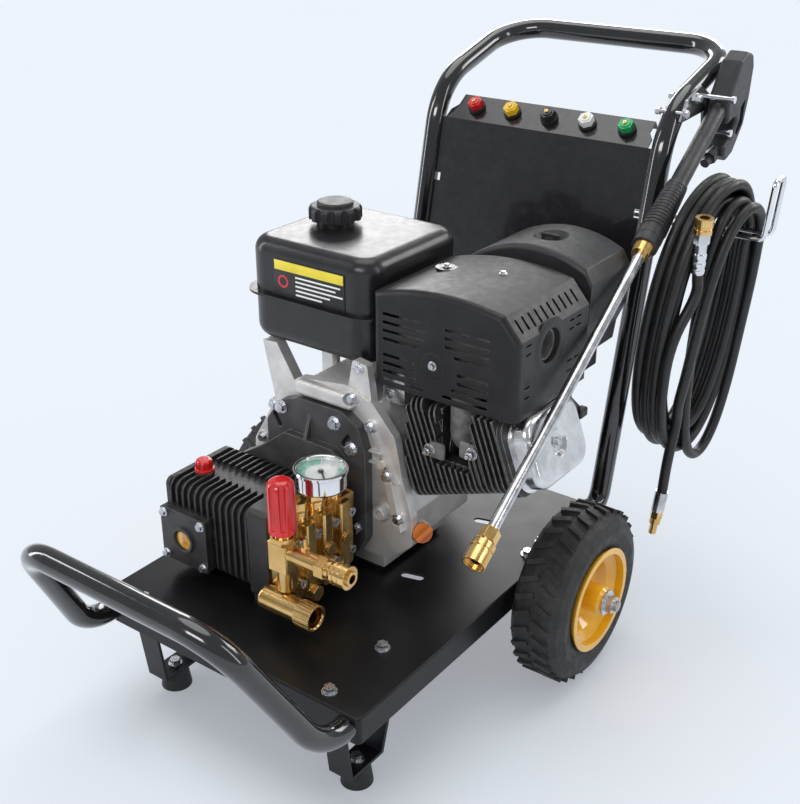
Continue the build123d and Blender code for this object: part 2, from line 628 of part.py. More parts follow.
def make_gearbox():
    housing = xz_shape(PLATE_OUTLINE, 242, COVER_Y, 12)
    housing += xz_shape(BOSS_OUTLINE, 230, 243, 8)
    housing += yz_shape([(243, 404), (243, 366), (229, 366)], -47.5, -42.5)
    housing -= rod((PUMP_X, 237, PUMP_Z), (PUMP_X, 253.5, PUMP_Z), 63)
    housing -= rod((ENGINE_X, 237, ENGINE_Z), (ENGINE_X, 253.5, ENGINE_Z), 33)
    housing -= rod((PUMP_X, 229, PUMP_Z), (PUMP_X, 240, PUMP_Z), SHAFT_RADIUS + RUN_GAP)
    housing -= rod((ENGINE_X, 250, ENGINE_Z), (ENGINE_X, 259, ENGINE_Z), 17.4 + RUN_GAP)
    for x, z, turn in ((-104, 378, 60), (18, 380, -55)):
        slot = Plane(origin=(x, 241, z), x_dir=(1, 0, 0), z_dir=(0, -1, 0)) * Rot(0, 0, -turn)
        housing -= slot * extrude(SlotOverall(24, 9), -10)
    for x, z in PLATE_BOLTS:
        housing -= rod((x, 241, z), (x, 259, z), 4)
    for x, z in SIDE_BOLTS:
        housing -= rod((x, 229, z), (x, 259, z), 8.4)
    return housing


add("gearbox_housing", make_gearbox())

# ---------------------------------------------------------------- engine
SIDE_OUTLINE = [(-168, 250), (-164, 325), (-108, 420), (-76, 443), (6, 454), (52, 438), (88, 398), (100, 340),
                (116, 285), (116, 240), (74, 206), (-150, 206)]
CASE_OUTLINE = [(-160, 252), (-156, 325), (-104, 414), (-74, 436), (4, 447), (47, 432), (82, 394), (94, 340),
                (110, 285), (110, 242), (72, 206), (-145, 206)]
BASE_Z = DECK_TOP + RAIL_HEIGHT + 0.1
DIP_START = Vector(100, 292, 250)
DIP_OUT = Vector(0.75, -0.6, 0.28).normalized()
MAIN_RADIUS = 17.4


def make_side_cover():
    cover = xz_shape(SIDE_OUTLINE, COVER_Y + 0.1, 272, 10)
    cover += pill(-72, 24, 244, 262, 424, 446, 6)
    for x, z in SIDE_BOLTS:
        cover += rod((x, COVER_Y - 3, z), (x, 270, z), 9)
    for z in (356, 372):
        cover += block(50.2, 69, 250, 262, z - 1.5, z + 1.5)
    cover -= rod(DIP_START - DIP_OUT * 20, DIP_START + DIP_OUT * 60, 15.1)
    cover += cone((69, 250, 356), (69, 262, 356), 7, 9)
    cover += cone((68, 246, 281), (68, 262, 281), 9, 14)
    cover += xz_shape([(52, 396), (92, 330), (97, 332), (58, 400)], 253, 262)
    cover += xz_shape([(76, 334), (92, 262), (104, 262), (88, 336)], 250, 262)
    cover -= rod((68, 245, 281), (68, 252, 281), 4)
    cover -= rod((ENGINE_X, 250, ENGINE_Z), (ENGINE_X, 273, ENGINE_Z), MAIN_RADIUS + RUN_GAP)
    for x, z in PLATE_BOLTS:
        cover -= rod((x, 240, z), (x, 273, z), 4)
    for x, z in SIDE_BOLTS:
        cover -= rod((x, 250, z), (x, 273, z), 3)
        cover -= rod((x, 240, z), (x, COVER_Y - 3, z), 8.4)
    return cover - xz_shape(PLATE_OUTLINE, 230, COVER_Y)


add("engine_side_cover", make_side_cover())


def local(shape):
    # s runs along the cylinder from the crank axis, t across it, both in a frame tilted up towards +X
    return Pos(ENGINE_X, 0, ENGINE_Z) * Rot(0, -CYLINDER_TILT, 0) * shape


def make_crankcase():
    case = xz_shape(CASE_OUTLINE, 272.1, 405, 9)
    case += block(-160, 60, 270, 418, BASE_Z, 212) - block(-108, 8, 260, 430, BASE_Z - 1, 196)
    case += xz_shape([(6, 440), (48, 432), (40, 488), (16, 492)], 262, 276, 4) - xz_shape(
        SIDE_OUTLINE, COVER_Y, 272.1)
    case += xz_shape([(-100, 405), (-140, 350), (-166, 468), (-140, 469.5)], 286, 304)
    case += block(-142, -122, 386, 404, 340, 469.5) + block(8, 30, 386, 404, 420, 469.5)
    case -= rod((ENGINE_X, 285, ENGINE_Z), (ENGINE_X, 392, ENGINE_Z), 61)
    case -= rod((ENGINE_X, 271, ENGINE_Z), (ENGINE_X, 410, ENGINE_Z), MAIN_RADIUS + RUN_GAP)
    case -= local(rod((20, 345, 0), (240, 345, 0), 44))
    case += rod(DIP_START - DIP_OUT * 20, DIP_START + DIP_OUT * 24, 15) - xz_shape(SIDE_OUTLINE, COVER_Y, 272.1)
    case -= rod(DIP_START - DIP_OUT * 24, DIP_START + DIP_OUT * 25, 8.05)
    for x in ENGINE_FEET_X:
        for y in ENGINE_FEET_Y:
            case -= rod((x, y, 170), (x, y, 196.1), BOLT_RADIUS)
            case -= rod((x, y, 196), (x, y, 214), 12)
    case -= rod((27, 261, 482), (27, 277, 482), 3)
    for x, z in SIDE_BOLTS:
        case -= rod((x, 271, z), (x, 282, z), 3)
    for x, z in PLATE_BOLTS:
        case -= rod((x, 265, z), (x, 276, z), 4)
    return case - parts["engine_side_cover"]


add("engine_crankcase", make_crankcase())


def make_engine_crankshaft():
    x, z = ENGINE_X, ENGINE_Z
    shaft = rod((x, 252, z), (x, 300, z), MAIN_RADIUS)
    shaft += rod((x, 374, z), (x, 412, z), MAIN_RADIUS)
    shaft += rod((x, 412, z), (x, 508, z), 12)
    for y in (300, 356):
        shaft += rod((x, y, z), (x, y + 18, z), 34)
        shaft += block(x - 52, x - 10, y, y + 18, z - 26, z + 26)
    shaft += rod((x + 32, 310, z), (x + 32, 362, z), 17)
    shaft += make_gear(PINION_TEETH, MESH_ANGLE + 180 + 180 / PINION_TEETH, x, z)
    return shaft


add("engine_crankshaft", make_engine_crankshaft())


def make_flywheel():
    x, z = ENGINE_X, ENGINE_Z
    wheel = rod((x, 424, z), (x, 452, z), 84) - rod((x, 423, z), (x, 438, z), 70)
    wheel += rod((x, 424, z), (x, 500, z), 24)
    for blade in ring_of(block(x + 44, x + 82, 450, 482, z - 2, z + 2), 14, (x, 0, z), (0, 1, 0)):
        wheel += blade
    return wheel - rod((x, 420, z), (x, 512, z), 12)


add("flywheel", make_flywheel())

PORT = (172, 298, 402)
HEAD_TOP_Z = 460


def make_cylinder():
    core = local(block(120, 320, 284, 416, -45, 62))
    for i in range(19):
        s = 158 + i * 8.6
        fin = soft_block(s - 1.2, s + 1.2, 268, 430, -57, 83 if s < 215 else 70, 16, Axis.X)
        core += local(fin)
    core += local(soft_block(255, 278, 274, 424, -54, 64, 18, Axis.X))
    core += local(soft_block(312, 321, 270, 420, -66, 40, 22, Axis.X))
    core -= xz_shape(CASE_OUTLINE, 260, 440, 0) + block(-200, 98, 260, 440, 180, 500)
    core -= block(0, 400, 200, 500, HEAD_TOP_Z, 700)
    core -= rod((PORT[0], PORT[1], 376), (PORT[0], PORT[1], 470), 26)
    core -= block(PORT[0] - 26, PORT[0] + 26, 255, PORT[1], 376, 470)
    core -= rod((PORT[0], 290, PORT[2]), (PORT[0], 326, PORT[2]), 19.1)
    core -= local(rod((90, 345, 0), (262, 345, 0), 44))
    return core


add("cylinder_block", make_cylinder())

COVER_T = (-62, 34)


def make_valve_cover():
    low, high = COVER_T
    lid = soft_block(323.1, 351, 281, 409, low, high, 26, Axis.X)
    lid = fillet(lid.faces().sort_by(Axis.X)[-1].edges(), 9)
    rim = soft_block(321.1, 325, 276, 414, low - 3, high, 28, Axis.X)
    dish = cone((346, 345, -14), (352, 345, -14), 14, 20)
    return local(lid + rim - dish - rod((320, 345, -14), (350, 345, -14), 4))


add("valve_cover", make_valve_cover())


EXHAUST = (352, 543)


def make_muffler():
    shell = pill(62, 238, 292, 440, 476, 590, 16) - pill(65, 235, 295, 437, 479, 587, 13)
    elbow = bent_tube([(PORT[0], 325, PORT[2]), PORT, (PORT[0], PORT[1], 480)], [22], 19)
    tail = rod((236, *EXHAUST), (254, *EXHAUST), 21) - rod((230, *EXHAUST), (256, *EXHAUST), 18)
    return shell + elbow + tail


add("muffler", make_muffler())

GUARD_X = (40, 260)
GUARD_Y = (275, 450)
GUARD_Z = (462, 606)
SHELL = 2


# height of each row of slots, where its left slot ends and where its right slot starts
SLOT_ROWS = [
    (563, 126, 153), (551.5, 126, 153), (540, 122, 153), (528.5, 112, 167),
    (506, 106, 172), (494.5, 106, 172), (483, 110, 164), (471.5, 122, 150),
]


def guard_outline(inset):
    # front view: arched top, a chamfer towards the exhaust side
    x0, x1 = GUARD_X[0] + inset, GUARD_X[1] - inset
    z0 = GUARD_Z[0] - (5 if inset else 0)
    top = GUARD_Z[1] - inset
    left = Line((x0, z0), (x0, top - 18))
    arch = ThreePointArc((x0, top - 18), ((x0 + x1 - 26) / 2, top), (x1 - 26, top - 8))
    chamfer = Polyline((x1 - 26, top - 8), (x1, top - 38), (x1, z0), (x0, z0))
    return make_face(left + arch + chamfer)


def make_guard():
    plane = Plane(origin=(0, GUARD_Y[0], 0), x_dir=(1, 0, 0), z_dir=(0, -1, 0))
    outer = extrude(plane * guard_outline(0), -(GUARD_Y[1] - GUARD_Y[0]))
    front = outer.faces().sort_by(Axis.Y)[0]
    front_edges = [edge for edge in front.edges() if edge.center().Z > GUARD_Z[0] + 2]
    outer = fillet(front_edges, 10)
    inner_plane = Plane(origin=(0, GUARD_Y[0] + SHELL, 0), x_dir=(1, 0, 0), z_dir=(0, -1, 0))
    inner = extrude(inner_plane * guard_outline(SHELL), -(GUARD_Y[1] - GUARD_Y[0]))
    front = inner.faces().sort_by(Axis.Y)[0]
    front_edges = [edge for edge in front.edges() if edge.center().Z > GUARD_Z[0] + 2]
    guard = outer - fillet(front_edges, 8)
    slots = []
    for z, left_end, right_start in SLOT_ROWS:
        for start, end in ((56, left_end), (right_start, 219)):
            slots.append(soft_block(start, end, GUARD_Y[0] - 1, GUARD_Y[0] + 4, z - 2.3, z + 2.3, 2.2, Axis.Y))
    for y in (300, 406, 424):
        for z in (490, 504, 548, 560):
            slots.append(block(255, 262, y - 6, y + 6, z - 1.6, z + 1.6))
    for slot in slots:
        guard -= slot
    guard -= rod((255, *EXHAUST), (262, *EXHAUST), 23)
    for i in range(10):
        y = 296 + i * 15
        slot = Plane(origin=(247, y, 583), x_dir=(0, 1, 0), z_dir=(0.755, 0, 0.656))
        guard -= slot * Pos(0, 0, -8) * extrude(Rot(0, 0, 90) * SlotOverall(20, 4.5), 16)
    return guard


add("muffler_guard", make_guard())


def make_tank_half(x0, x1, y0, y1, z0, z1, radius, draft):
    body = soft_block(x0, x1, y0, y1, z0, z1, radius)
    flat = body.faces().sort_by(Axis.Z)[-1 if draft > 0 else 0]
    return fillet(flat.edges(), abs(draft))


def make_tank():
    upper = make_tank_half(-188, 30, 283, 498, 541, 619, 34, 20)
    lower = make_tank_half(-188, 30, 283, 498, 470, 541, 34, -22)
    seam = soft_block(-198, 38, 275, 505, 539.5, 543, 38)
    neck = rod((-122, 401, 612), (-122, 401, 627), 27)
    hollow = make_tank_half(-185.5, 27.5, 285.5, 495.5, 541, 616.5, 32, 18)
    hollow += make_tank_half(-185.5, 27.5, 285.5, 495.5, 472.5, 541, 32, -20)
    tank = upper + lower + seam + neck - hollow
    return tank - rod((-122, 401, 610), (-122, 401, 630), 24)


add("fuel_tank", make_tank())

CAP = (-122, 401)


def make_fuel_cap():
    cap = rod((*CAP, 627.2), (*CAP, 646), 38)
    cap = fillet(cap.edges().sort_by(Axis.Z)[-1], 6)
    cap += fillet(rod((*CAP, 645), (*CAP, 652), 26).edges().sort_by(Axis.Z)[-1], 3)
    for flute in ring_of(rod((CAP[0] + 40, CAP[1], 620), (CAP[0] + 40, CAP[1], 660), 6), 12, (*CAP, 0), (0, 0, 1)):
        cap -= flute
    return cap + rod((*CAP, 618), (*CAP, 628), 23)


add("fuel_cap", make_fuel_cap())

dip = rod(DIP_START + DIP_OUT * 24.2, DIP_START + DIP_OUT * 33, 14)
tab_plane = Plane(origin=DIP_START + DIP_OUT * 33, z_dir=DIP_OUT)
dip += tab_plane * Rot(0, 0, 35) * Pos(0, 0, 4) * Box(27, 6, 9)
dip += rod(DIP_START - DIP_OUT * 20, DIP_START + DIP_OUT * 25, 8)
add("oil_dipstick", dip)

AIR_X = (60, 252)
AIR_Y = (470, 580)


def make_air_cleaner():
    x0, x1 = AIR_X
    plane = Plane(origin=(0, AIR_Y[0], 0), x_dir=(1, 0, 0), z_dir=(0, -1, 0))
    arch = ThreePointArc((x0, 588), (150, 622), (x1 - 12, 604))
    sides = Polyline((x1 - 12, 604), (x1, 584), (x1 - 2, 528), (x1 - 14, 500), (x1 - 18, 470), (x0 + 12, 470),
                     (x0, 500), (x0, 588))
    body = extrude(plane * make_face(arch + sides), -(AIR_Y[1] - AIR_Y[0]))
    body = fillet(body.faces().sort_by(Axis.Y)[0].edges().group_by(Axis.Z)[-1], 8)
    body = fillet(body.edges().filter_by(Axis.Y), 4)
    bowl = soft_block(150, 222, 484, 566, 436, 471, 10)
    body += bowl + rod((156, 525, 600), (156, 525, 618), 10)
    body -= cone((156, 525, 610), (156, 525, 626), 12, 30) - rod((156, 525, 600), (156, 525, 612), 9)
    return body - rod((156, 525, 596), (156, 525, 630), 3.5)


add("air_cleaner", make_air_cleaner())

nut = rod((156, 525, 612.2), (156, 525, 618), 8)
nut += pill(142, 170, 523, 527, 614, 624, 1.4) + rod((156, 525, 598), (156, 525, 613), 3.4)
add("air_cleaner_nut", nut)

carb = soft_block(176, 226, 431, 469.9, 470 - 64, 470 - 18, 8, Axis.Y)
carb += rod((200, 450, 380), (200, 450, 410), 16) + rod((226, 450, 428), (236, 450, 428), 6)
carb -= rod((218, 450, 428), (238, 450, 428), 3)
add("carburettor", carb)

lever = rod((236.2, 450, 428), (239, 450, 428), 9) + rod((219, 450, 428), (237, 450, 428), 3 - RUN_GAP)
lever += yz_shape([(446, 426), (454, 430), (492, 396), (486, 388)], 236.2, 238.6)
lever += pill(234, 246, 478, 498, 384, 398, 3)
add("choke_lever", lever)


def make_shroud():
    x, z = ENGINE_X, ENGINE_Z
    shell = rod((x, 405.1, z), (x, 500, z), 108)
    shell = fillet(shell.edges().sort_by(Axis.Y)[-1], 10)
    shell += soft_block(x, 96, 405.1, 489, z + 20, z + 106, 20, Axis.Y)
    shell -= rod((x, 407.5, z), (x, 497, z), 104)
    shell -= block(x, 90, 407.5, 486, z + 30, z + 100)
    shell -= rod((x, 400, z), (x, 410, z), 40)
    shell -= rod((x, 490, z), (x, 505, z), 70)
    shell -= block(-200, 200, 404, 420, 180, 214)
    recoil = rod((x, 500.2, z), (x, 545, z), 88)
    recoil = fillet(recoil.edges().sort_by(Axis.Y)[-1], 14)
    recoil -= fillet(rod((x, 499, z), (x, 541, z), 84).edges().sort_by(Axis.Y)[-1], 11)
    recoil += rod((x, 520, z), (x, 543, z), 22)
    for slot in ring_of(block(x + 40, x + 72, 535, 547, z - 4, z + 4), 12, (x, 0, z), (0, 1, 0)):
        recoil -= slot
    recoil += block(x + 40, x + 92, 506, 540, z + 44, z + 78)
    recoil -= rod((x + 70, 530, z + 61), (x + 70, 560, z + 61), 5)
    return shell, recoil


add("fan_shroud", *make_shroud())

handle_at = (ENGINE_X + 70, ENGINE_Z + 61)
grip = pill(handle_at[0] - 38, handle_at[0] + 38, 546, 562, handle_at[1] - 9, handle_at[1] + 9, 6)
grip += rod((handle_at[0], 531, handle_at[1]), (handle_at[0], 547, handle_at[1]), 4.9)
add("recoil_handle", grip)

# bolts on the engine, the gearbox and the pump
machine_bolts = [bolt((x, 87.9, z), (0, -1, 0), 9, 2.5, 18) for x, z in COVER_BOLTS]
machine_bolts += [bolt((x, 241.9, z), (0, -1, 0), 13, 4, 30) for x, z in PLATE_BOLTS]
machine_bolts += [bolt((x, COVER_Y - 3.1, z), (0, -1, 0), 10, 3, 24) for x, z in SIDE_BOLTS]
machine_bolts += [
    bolt((x, y, BASE_Z + 16), (0, 0, 1), 13, BOLT_RADIUS, 30) for x in ENGINE_FEET_X for y in ENGINE_FEET_Y]
machine_bolts.append(bolt((27, 261.9, 482), (0, -1, 0), 10, 3, 14))
cover_bolt = bolt((352.2, 345, -14), (1, 0, 0), 10, 4, 20)
machine_bolts.append(local(Pos(-6, 0, 0) * cover_bolt))
for y, z in HEAD_BOLTS:
    head = pipe((40.1, y, z), (48, y, z), 6.5, 2.8) + rod((40.1, y, z), (43, y, z), 6)
    machine_bolts.append(head + rod((0, y, z), (41, y, z), 3))
add("machine_bolts", *machine_bolts)

# ---------------------------------------------------------------- gun, lance and hooks
LANCE_LOW = Vector(300, 126, 354)
LANCE_TOP = Vector(238, 862, 740)
LANCE = (LANCE_TOP - LANCE_LOW).normalized()
LANCE_LENGTH = (LANCE_TOP - LANCE_LOW).length


def station(distance):
    return LANCE_LOW + LANCE * distance


PIN_Y = 858
GUN_X = 238
GUN_HALF = 16.8

hook_plate = yz_shape([(772, 738), (792, 768), (838, 782), (872, 764), (872, 706), (860, 706), (852, 742)],
                      217.1, 220.9, 2)
for y, z in HOOK_BOLTS:
    hook_plate -= rod((216, y, z), (222, y, z), 3)
for z in (763, 714):
    hook_plate += rod((220, PIN_Y, z), (266, PIN_Y, z), 4)
    hook_plate += rod((262, PIN_Y, z), (266, PIN_Y, z), 5.5)
RACK_Z = 604
RACK_Y = (730, 762)
RACK_REACH = 380
rack_plate = soft_block(217.1, 220.9, 716, 776, RACK_Z - 14, RACK_Z + 14, 5, Axis.X)
rack_plate -= rod((216, *RACK_BOLT), (222, *RACK_BOLT), 3)
rack_wire = bent_tube(
    [(219, RACK_Y[0], RACK_Z), (RACK_REACH, RACK_Y[0], RACK_Z), (RACK_REACH + 7, RACK_Y[0], 688),
     (RACK_REACH + 7, RACK_Y[1], 688), (RACK_REACH, RACK_Y[1], RACK_Z), (219, RACK_Y[1], RACK_Z)],
    [10, 8, 8, 10], 4)
add("side_hooks", hook_plate, rack_plate + rack_wire)


TRIGGER_PIVOT = (920, 739.5)


def make_gun():
    shell = yz_shape(
        [(864, 762), (900, 812), (922, 823), (944, 817), (951, 798), (946, 752), (934, 712), (902, 674),
         (880, 666), (866, 676), (868, 690), (884, 698), (904, 722), (898, 730), (868, 722)],
        GUN_X - GUN_HALF, GUN_X + GUN_HALF, 5)
    shell = fillet(shell.faces().sort_by(Axis.X)[-1].edges(), 6)
    shell = fillet(shell.faces().sort_by(Axis.X)[0].edges(), 6)
    window = yz_shape([(914, 742), (930, 754), (926, 716), (908, 700), (902, 706), (914, 724)], 200, 280)
    inlet_top = Vector(GUN_X, 872, 683)
    inlet_out = Vector(0, -26, -11).normalized()
    inlet = rod(inlet_top, inlet_top + inlet_out * 22, 8.5)
    inlet += hex_rod(inlet_top + inlet_out * 14, inlet_top + inlet_out * 24, 20)
    inlet += rod(inlet_top + inlet_out * 20, inlet_top + inlet_out * 38, HOSE_SOCKET - 0.1)
    gun = shell - window + inlet
    return gun - rod(station(LANCE_LENGTH - 30), station(LANCE_LENGTH + 16.1), 13.05)


add("gun_body", make_gun())

trigger = yz_shape([(916, 740), (924, 744), (922, 722), (910, 708), (907, 710), (914, 724)], GUN_X - 8, GUN_X + 8)
trigger += rod((GUN_X - 8, *TRIGGER_PIVOT), (GUN_X + 8, *TRIGGER_PIVOT), 4)
add("gun_trigger", trigger)


def make_lance_grip():
    grip = cone(station(556), station(668), 19, 15)
    for i in range(14):
        at = 574 + i * 6.6
        radius = 19.5 - i * 0.3
        grip += rod(station(at), station(at + 3.6), radius)
    grip += rod(station(540), station(568), 18.5)
    return grip + rod(station(660), station(LANCE_LENGTH + 16), 13)


add("lance_grip", make_lance_grip())
lance = rod(station(52), station(526), 7.5)
lance += cone(station(524), station(539.9), 13, 15)
add("lance_tube", lance)
coupler = rod(station(24), station(51.9), 9.5) + hex_rod(station(34), station(50), 22)
coupler += rod(station(4), station(25), 12.5) + pipe(station(0), station(30), 15, 12.4)
coupler -= rod(station(-1), station(20), SOCKET_RADIUS)
coupler -= pipe(station(20), station(22), 17, 13.5)
add("lance_coupler", coupler)

# ---------------------------------------------------------------- hose
COIL_MIDDLE = (308, 743, 468)
COIL_HALF = (33, 104, 222)
COIL_PITCH = 5.5
COIL_YAW = -8


def make_coil():
    half_x, half_y, half_z = COIL_HALF
    plane = Plane(origin=(-half_x, 0, 0), x_dir=(0, 1, 0), z_dir=(1, 0, 0))
    ring = extrude(plane * Ellipse(half_y, half_z), 2 * half_x)
    hole = extrude(plane * Pos(0, -9) * Ellipse(half_y - 44, half_z - 62), 2 * half_x)
    return Pos(*COIL_MIDDLE) * Rot(0, COIL_PITCH, COIL_YAW) * (ring - hole) - parts["side_hooks"]


add("hose_coil", make_coil())

UPPER_ROUTE = [(326, 640, 599), (324, 643, 566), (326, 650, 536)]
LOWER_ROUTE = [(318, 680, 330), (312, 672, 290), (304, 664, 250), (300, 660, 206)]


def corner_radii(points):
    # each arc is as large as its two runs allow
    radii = []
    for before, corner, after in zip(points, points[1:], points[2:]):
        run_in, run_out = Vector(*corner) - Vector(*before), Vector(*after) - Vector(*corner)
        half_turn = math.radians(run_in.get_angle(run_out)) / 2
        radii.append(0.45 * min(run_in.length, run_out.length) / math.tan(half_turn))
    return radii


for name, route in (("hose_tail_upper", UPPER_ROUTE), ("hose_tail_lower", LOWER_ROUTE)):
    radii = corner_radii(route)
    tube = bent_tube(route, radii, HOSE_RADIUS)
    length = centre_line(route, radii).length
    print(name, "radii", [round(r) for r in radii], "length", round(length, 1),
          "volume / (section x length)", round(tube.volume / (math.pi * HOSE_RADIUS ** 2 * length), 4))
    add(name, tube)

top = Vector(*UPPER_ROUTE[0])
up = (top - Vector(*UPPER_ROUTE[1])).normalized()
fitting = rod(top + up * 0.1, top + up * 16, 8.5) + hex_rod(top + up * 14, top + up * 30, 19)
fitting += rod(top + up * 29, top + up * 52, 12.5) - pipe(top + up * 36, top + up * 39, 14, 11)
fitting -= rod(top + up * 34, top + up * 54, HOSE_SOCKET)
plug_top = Vector(*LOWER_ROUTE[-1])
down = (plug_top - Vector(*LOWER_ROUTE[-2])).normalized()
plug = rod(plug_top + down * 0.1, plug_top + down * 34, 10) + hex_rod(plug_top + down * 34, plug_top + down * 46, 17)
plug += rod(plug_top + down * 45, plug_top + down * 56, 8.5)
plug += rod(plug_top + down * 55, plug_top + down * 74, PLUG_RADIUS)
plug -= rod(plug_top + down * 50, plug_top + down * 76, 3)
add("hose_fittings", fitting, plug)

# ---------------------------------------------------------------- write one file per node
os.makedirs("parts", exist_ok=True)
for name, piece in parts.items():
    export_step(TO_ORIGIN * piece, "parts/" + name + ".step")
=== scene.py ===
import math

import bmesh
import bpy
import numpy as np
from mathutils import Matrix, Vector


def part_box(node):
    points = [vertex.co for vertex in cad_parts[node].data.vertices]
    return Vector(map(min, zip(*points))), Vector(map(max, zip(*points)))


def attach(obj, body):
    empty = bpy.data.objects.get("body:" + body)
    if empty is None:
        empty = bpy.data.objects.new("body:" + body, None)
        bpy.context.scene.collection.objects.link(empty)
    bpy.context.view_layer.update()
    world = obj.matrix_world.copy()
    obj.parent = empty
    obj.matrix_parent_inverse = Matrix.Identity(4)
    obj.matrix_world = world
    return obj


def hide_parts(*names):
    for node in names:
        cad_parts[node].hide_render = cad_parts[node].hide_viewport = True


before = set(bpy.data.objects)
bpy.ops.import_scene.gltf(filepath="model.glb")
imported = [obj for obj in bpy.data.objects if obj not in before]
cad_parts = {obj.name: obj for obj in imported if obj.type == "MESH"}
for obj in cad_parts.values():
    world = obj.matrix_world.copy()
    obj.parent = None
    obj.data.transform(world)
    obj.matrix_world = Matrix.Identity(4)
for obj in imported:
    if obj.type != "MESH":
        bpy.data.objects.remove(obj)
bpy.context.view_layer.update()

CAMERA_PLACE = (0.9097, -1.2901, 1.1285)
CAMERA_AZIMUTH, CAMERA_ELEVATION = 36.43, 25.61
CAMERA_LENS, SENSOR_WIDTH = 53.97, 36


# ---------------------------------------------------------------- camera and light
def make_camera():
    azimuth, elevation = math.radians(CAMERA_AZIMUTH), math.radians(CAMERA_ELEVATION)
    back = Vector((
        math.sin(azimuth) * math.cos(elevation),
        -math.cos(azimuth) * math.cos(elevation),
        math.sin(elevation),
    ))
    data = bpy.data.cameras.new("camera")
    data.lens = CAMERA_LENS
    data.sensor_width = SENSOR_WIDTH
    data.clip_start, data.clip_end = 0.05, 60
    camera = bpy.data.objects.new("camera", data)
    bpy.context.scene.collection.objects.link(camera)
    camera.location = CAMERA_PLACE
    camera.rotation_euler = (-back).to_track_quat("-Z", "Y").to_euler()
    bpy.context.scene.camera = camera


def area_light(name, location, target, size, power, colour=(1, 1, 1)):
    data = bpy.data.lights.new(name, "AREA")
    data.shape = "RECTANGLE"
    data.size, data.size_y = size
    data.energy = power
    data.color = colour
    light = bpy.data.objects.new(name, data)
    bpy.context.scene.collection.objects.link(light)
    light.location = location
    aim = Vector(target) - Vector(location)
    light.rotation_euler = aim.to_track_quat("-Z", "Y").to_euler()
    return light


def make_studio(floor):
    world = bpy.data.worlds.new("studio")
    bpy.context.scene.world = world
    world.use_nodes = True
    background = world.node_tree.nodes["Background"]
    background.inputs["Color"].default_value = (0.93, 0.96, 1.0, 1)
    background.inputs["Strength"].default_value = 0.42
    sun = bpy.data.lights.new("overhead", "SUN")
    sun.energy = 1.15
    sun.angle = math.radians(50)
    overhead = bpy.data.objects.new("overhead", sun)
    overhead.rotation_euler = (math.radians(-12), math.radians(-8), 0)
    bpy.context.scene.collection.objects.link(overhead)
    # the soft boxes light the machine and leave the floor even
    beside = bpy.data.collections.new("not_lit_by_boxes")
    beside.objects.link(floor)
    beside.collection_objects[0].light_linking.link_state = "EXCLUDE"
    for box in (
        area_light("back_box", (-1.3, 2.6, 1.55), (0, 0.1, 0.5), (2.6, 1.1), 50),
        area_light("back_right_box", (1.25, 2.2, 1.75), (0.1, 0, 0.5), (1.3, 1.0), 22),
        area_light("left_strip", (-2.4, -1.2, 1.4), (0, 0, 0.45), (0.35, 2.4), 22),
        area_light("front_box", (0.4, -2.9, 2.3), (0, -0.1, 0.35), (1.8, 0.7), 40),
        area_light("right_strip", (2.6, 0.3, 1.5), (0.1, 0.1, 0.5), (0.35, 2.2), 13),
    ):
        box.light_linking.receiver_collection = beside
    bpy.context.scene.view_settings.view_transform = "Standard"


# ---------------------------------------------------------------- materials
def object_coordinates(tree, stretch=(1, 1, 1)):
    coordinates = tree.nodes.new("ShaderNodeTexCoord")
    mapping = tree.nodes.new("ShaderNodeMapping")
    mapping.inputs["Scale"].default_value = stretch
    tree.links.new(coordinates.outputs["Object"], mapping.inputs["Vector"])
    return mapping.outputs["Vector"]


def noise(tree, scale, detail=4.0, stretch=(1, 1, 1)):
    node = tree.nodes.new("ShaderNodeTexNoise")
    node.inputs["Scale"].default_value = scale
    node.inputs["Detail"].default_value = detail
    tree.links.new(object_coordinates(tree, stretch), node.inputs["Vector"])
    return node.outputs["Fac"]


def spread(tree, value, low, high, to_low=0.0, to_high=1.0):
    node = tree.nodes.new("ShaderNodeMapRange")
    limits = {"From Min": low, "From Max": high, "To Min": to_low, "To Max": to_high}
    for name, number in limits.items():
        node.inputs[name].default_value = number
    tree.links.new(value, node.inputs["Value"])
    return node.outputs["Result"]


def mix(tree, fac, a, b):
    node = tree.nodes.new("ShaderNodeMix")
    node.data_type = "RGBA"
    tree.links.new(fac, node.inputs["Factor"])
    for socket, value in ((node.inputs["A"], a), (node.inputs["B"], b)):
        if isinstance(value, tuple):
            socket.default_value = (*value, 1)
        else:
            tree.links.new(value, socket)
    return node.outputs["Result"]


def math_node(tree, operation, a, b=0.0):
    node = tree.nodes.new("ShaderNodeMath")
    node.operation = operation
    for socket, value in zip(node.inputs, (a, b)):
        if isinstance(value, (int, float)):
            socket.default_value = value
        else:
            tree.links.new(value, socket)
    return node.outputs["Value"]


def height_along(tree, direction):
    node = tree.nodes.new("ShaderNodeVectorMath")
    node.operation = "DOT_PRODUCT"
    node.inputs[1].default_value = direction
    tree.links.new(object_coordinates(tree), node.inputs[0])
    return node.outputs["Value"]


def edge_mask(tree, radius):
    # bright where the rounded normal leaves the true one, that is along sharp edges; surface paints a
    # lighter edge colour there as a painted highlight
    rounded = tree.nodes.new("ShaderNodeBevel")
    rounded.samples = 4
    rounded.inputs["Radius"].default_value = radius
    true = tree.nodes.new("ShaderNodeNewGeometry")
    dot = tree.nodes.new("ShaderNodeVectorMath")
    dot.operation = "DOT_PRODUCT"
    tree.links.new(rounded.outputs["Normal"], dot.inputs[0])
    tree.links.new(true.outputs["Normal"], dot.inputs[1])
    return spread(tree, dot.outputs["Value"], 0.985, 0.86), rounded.outputs["Normal"]


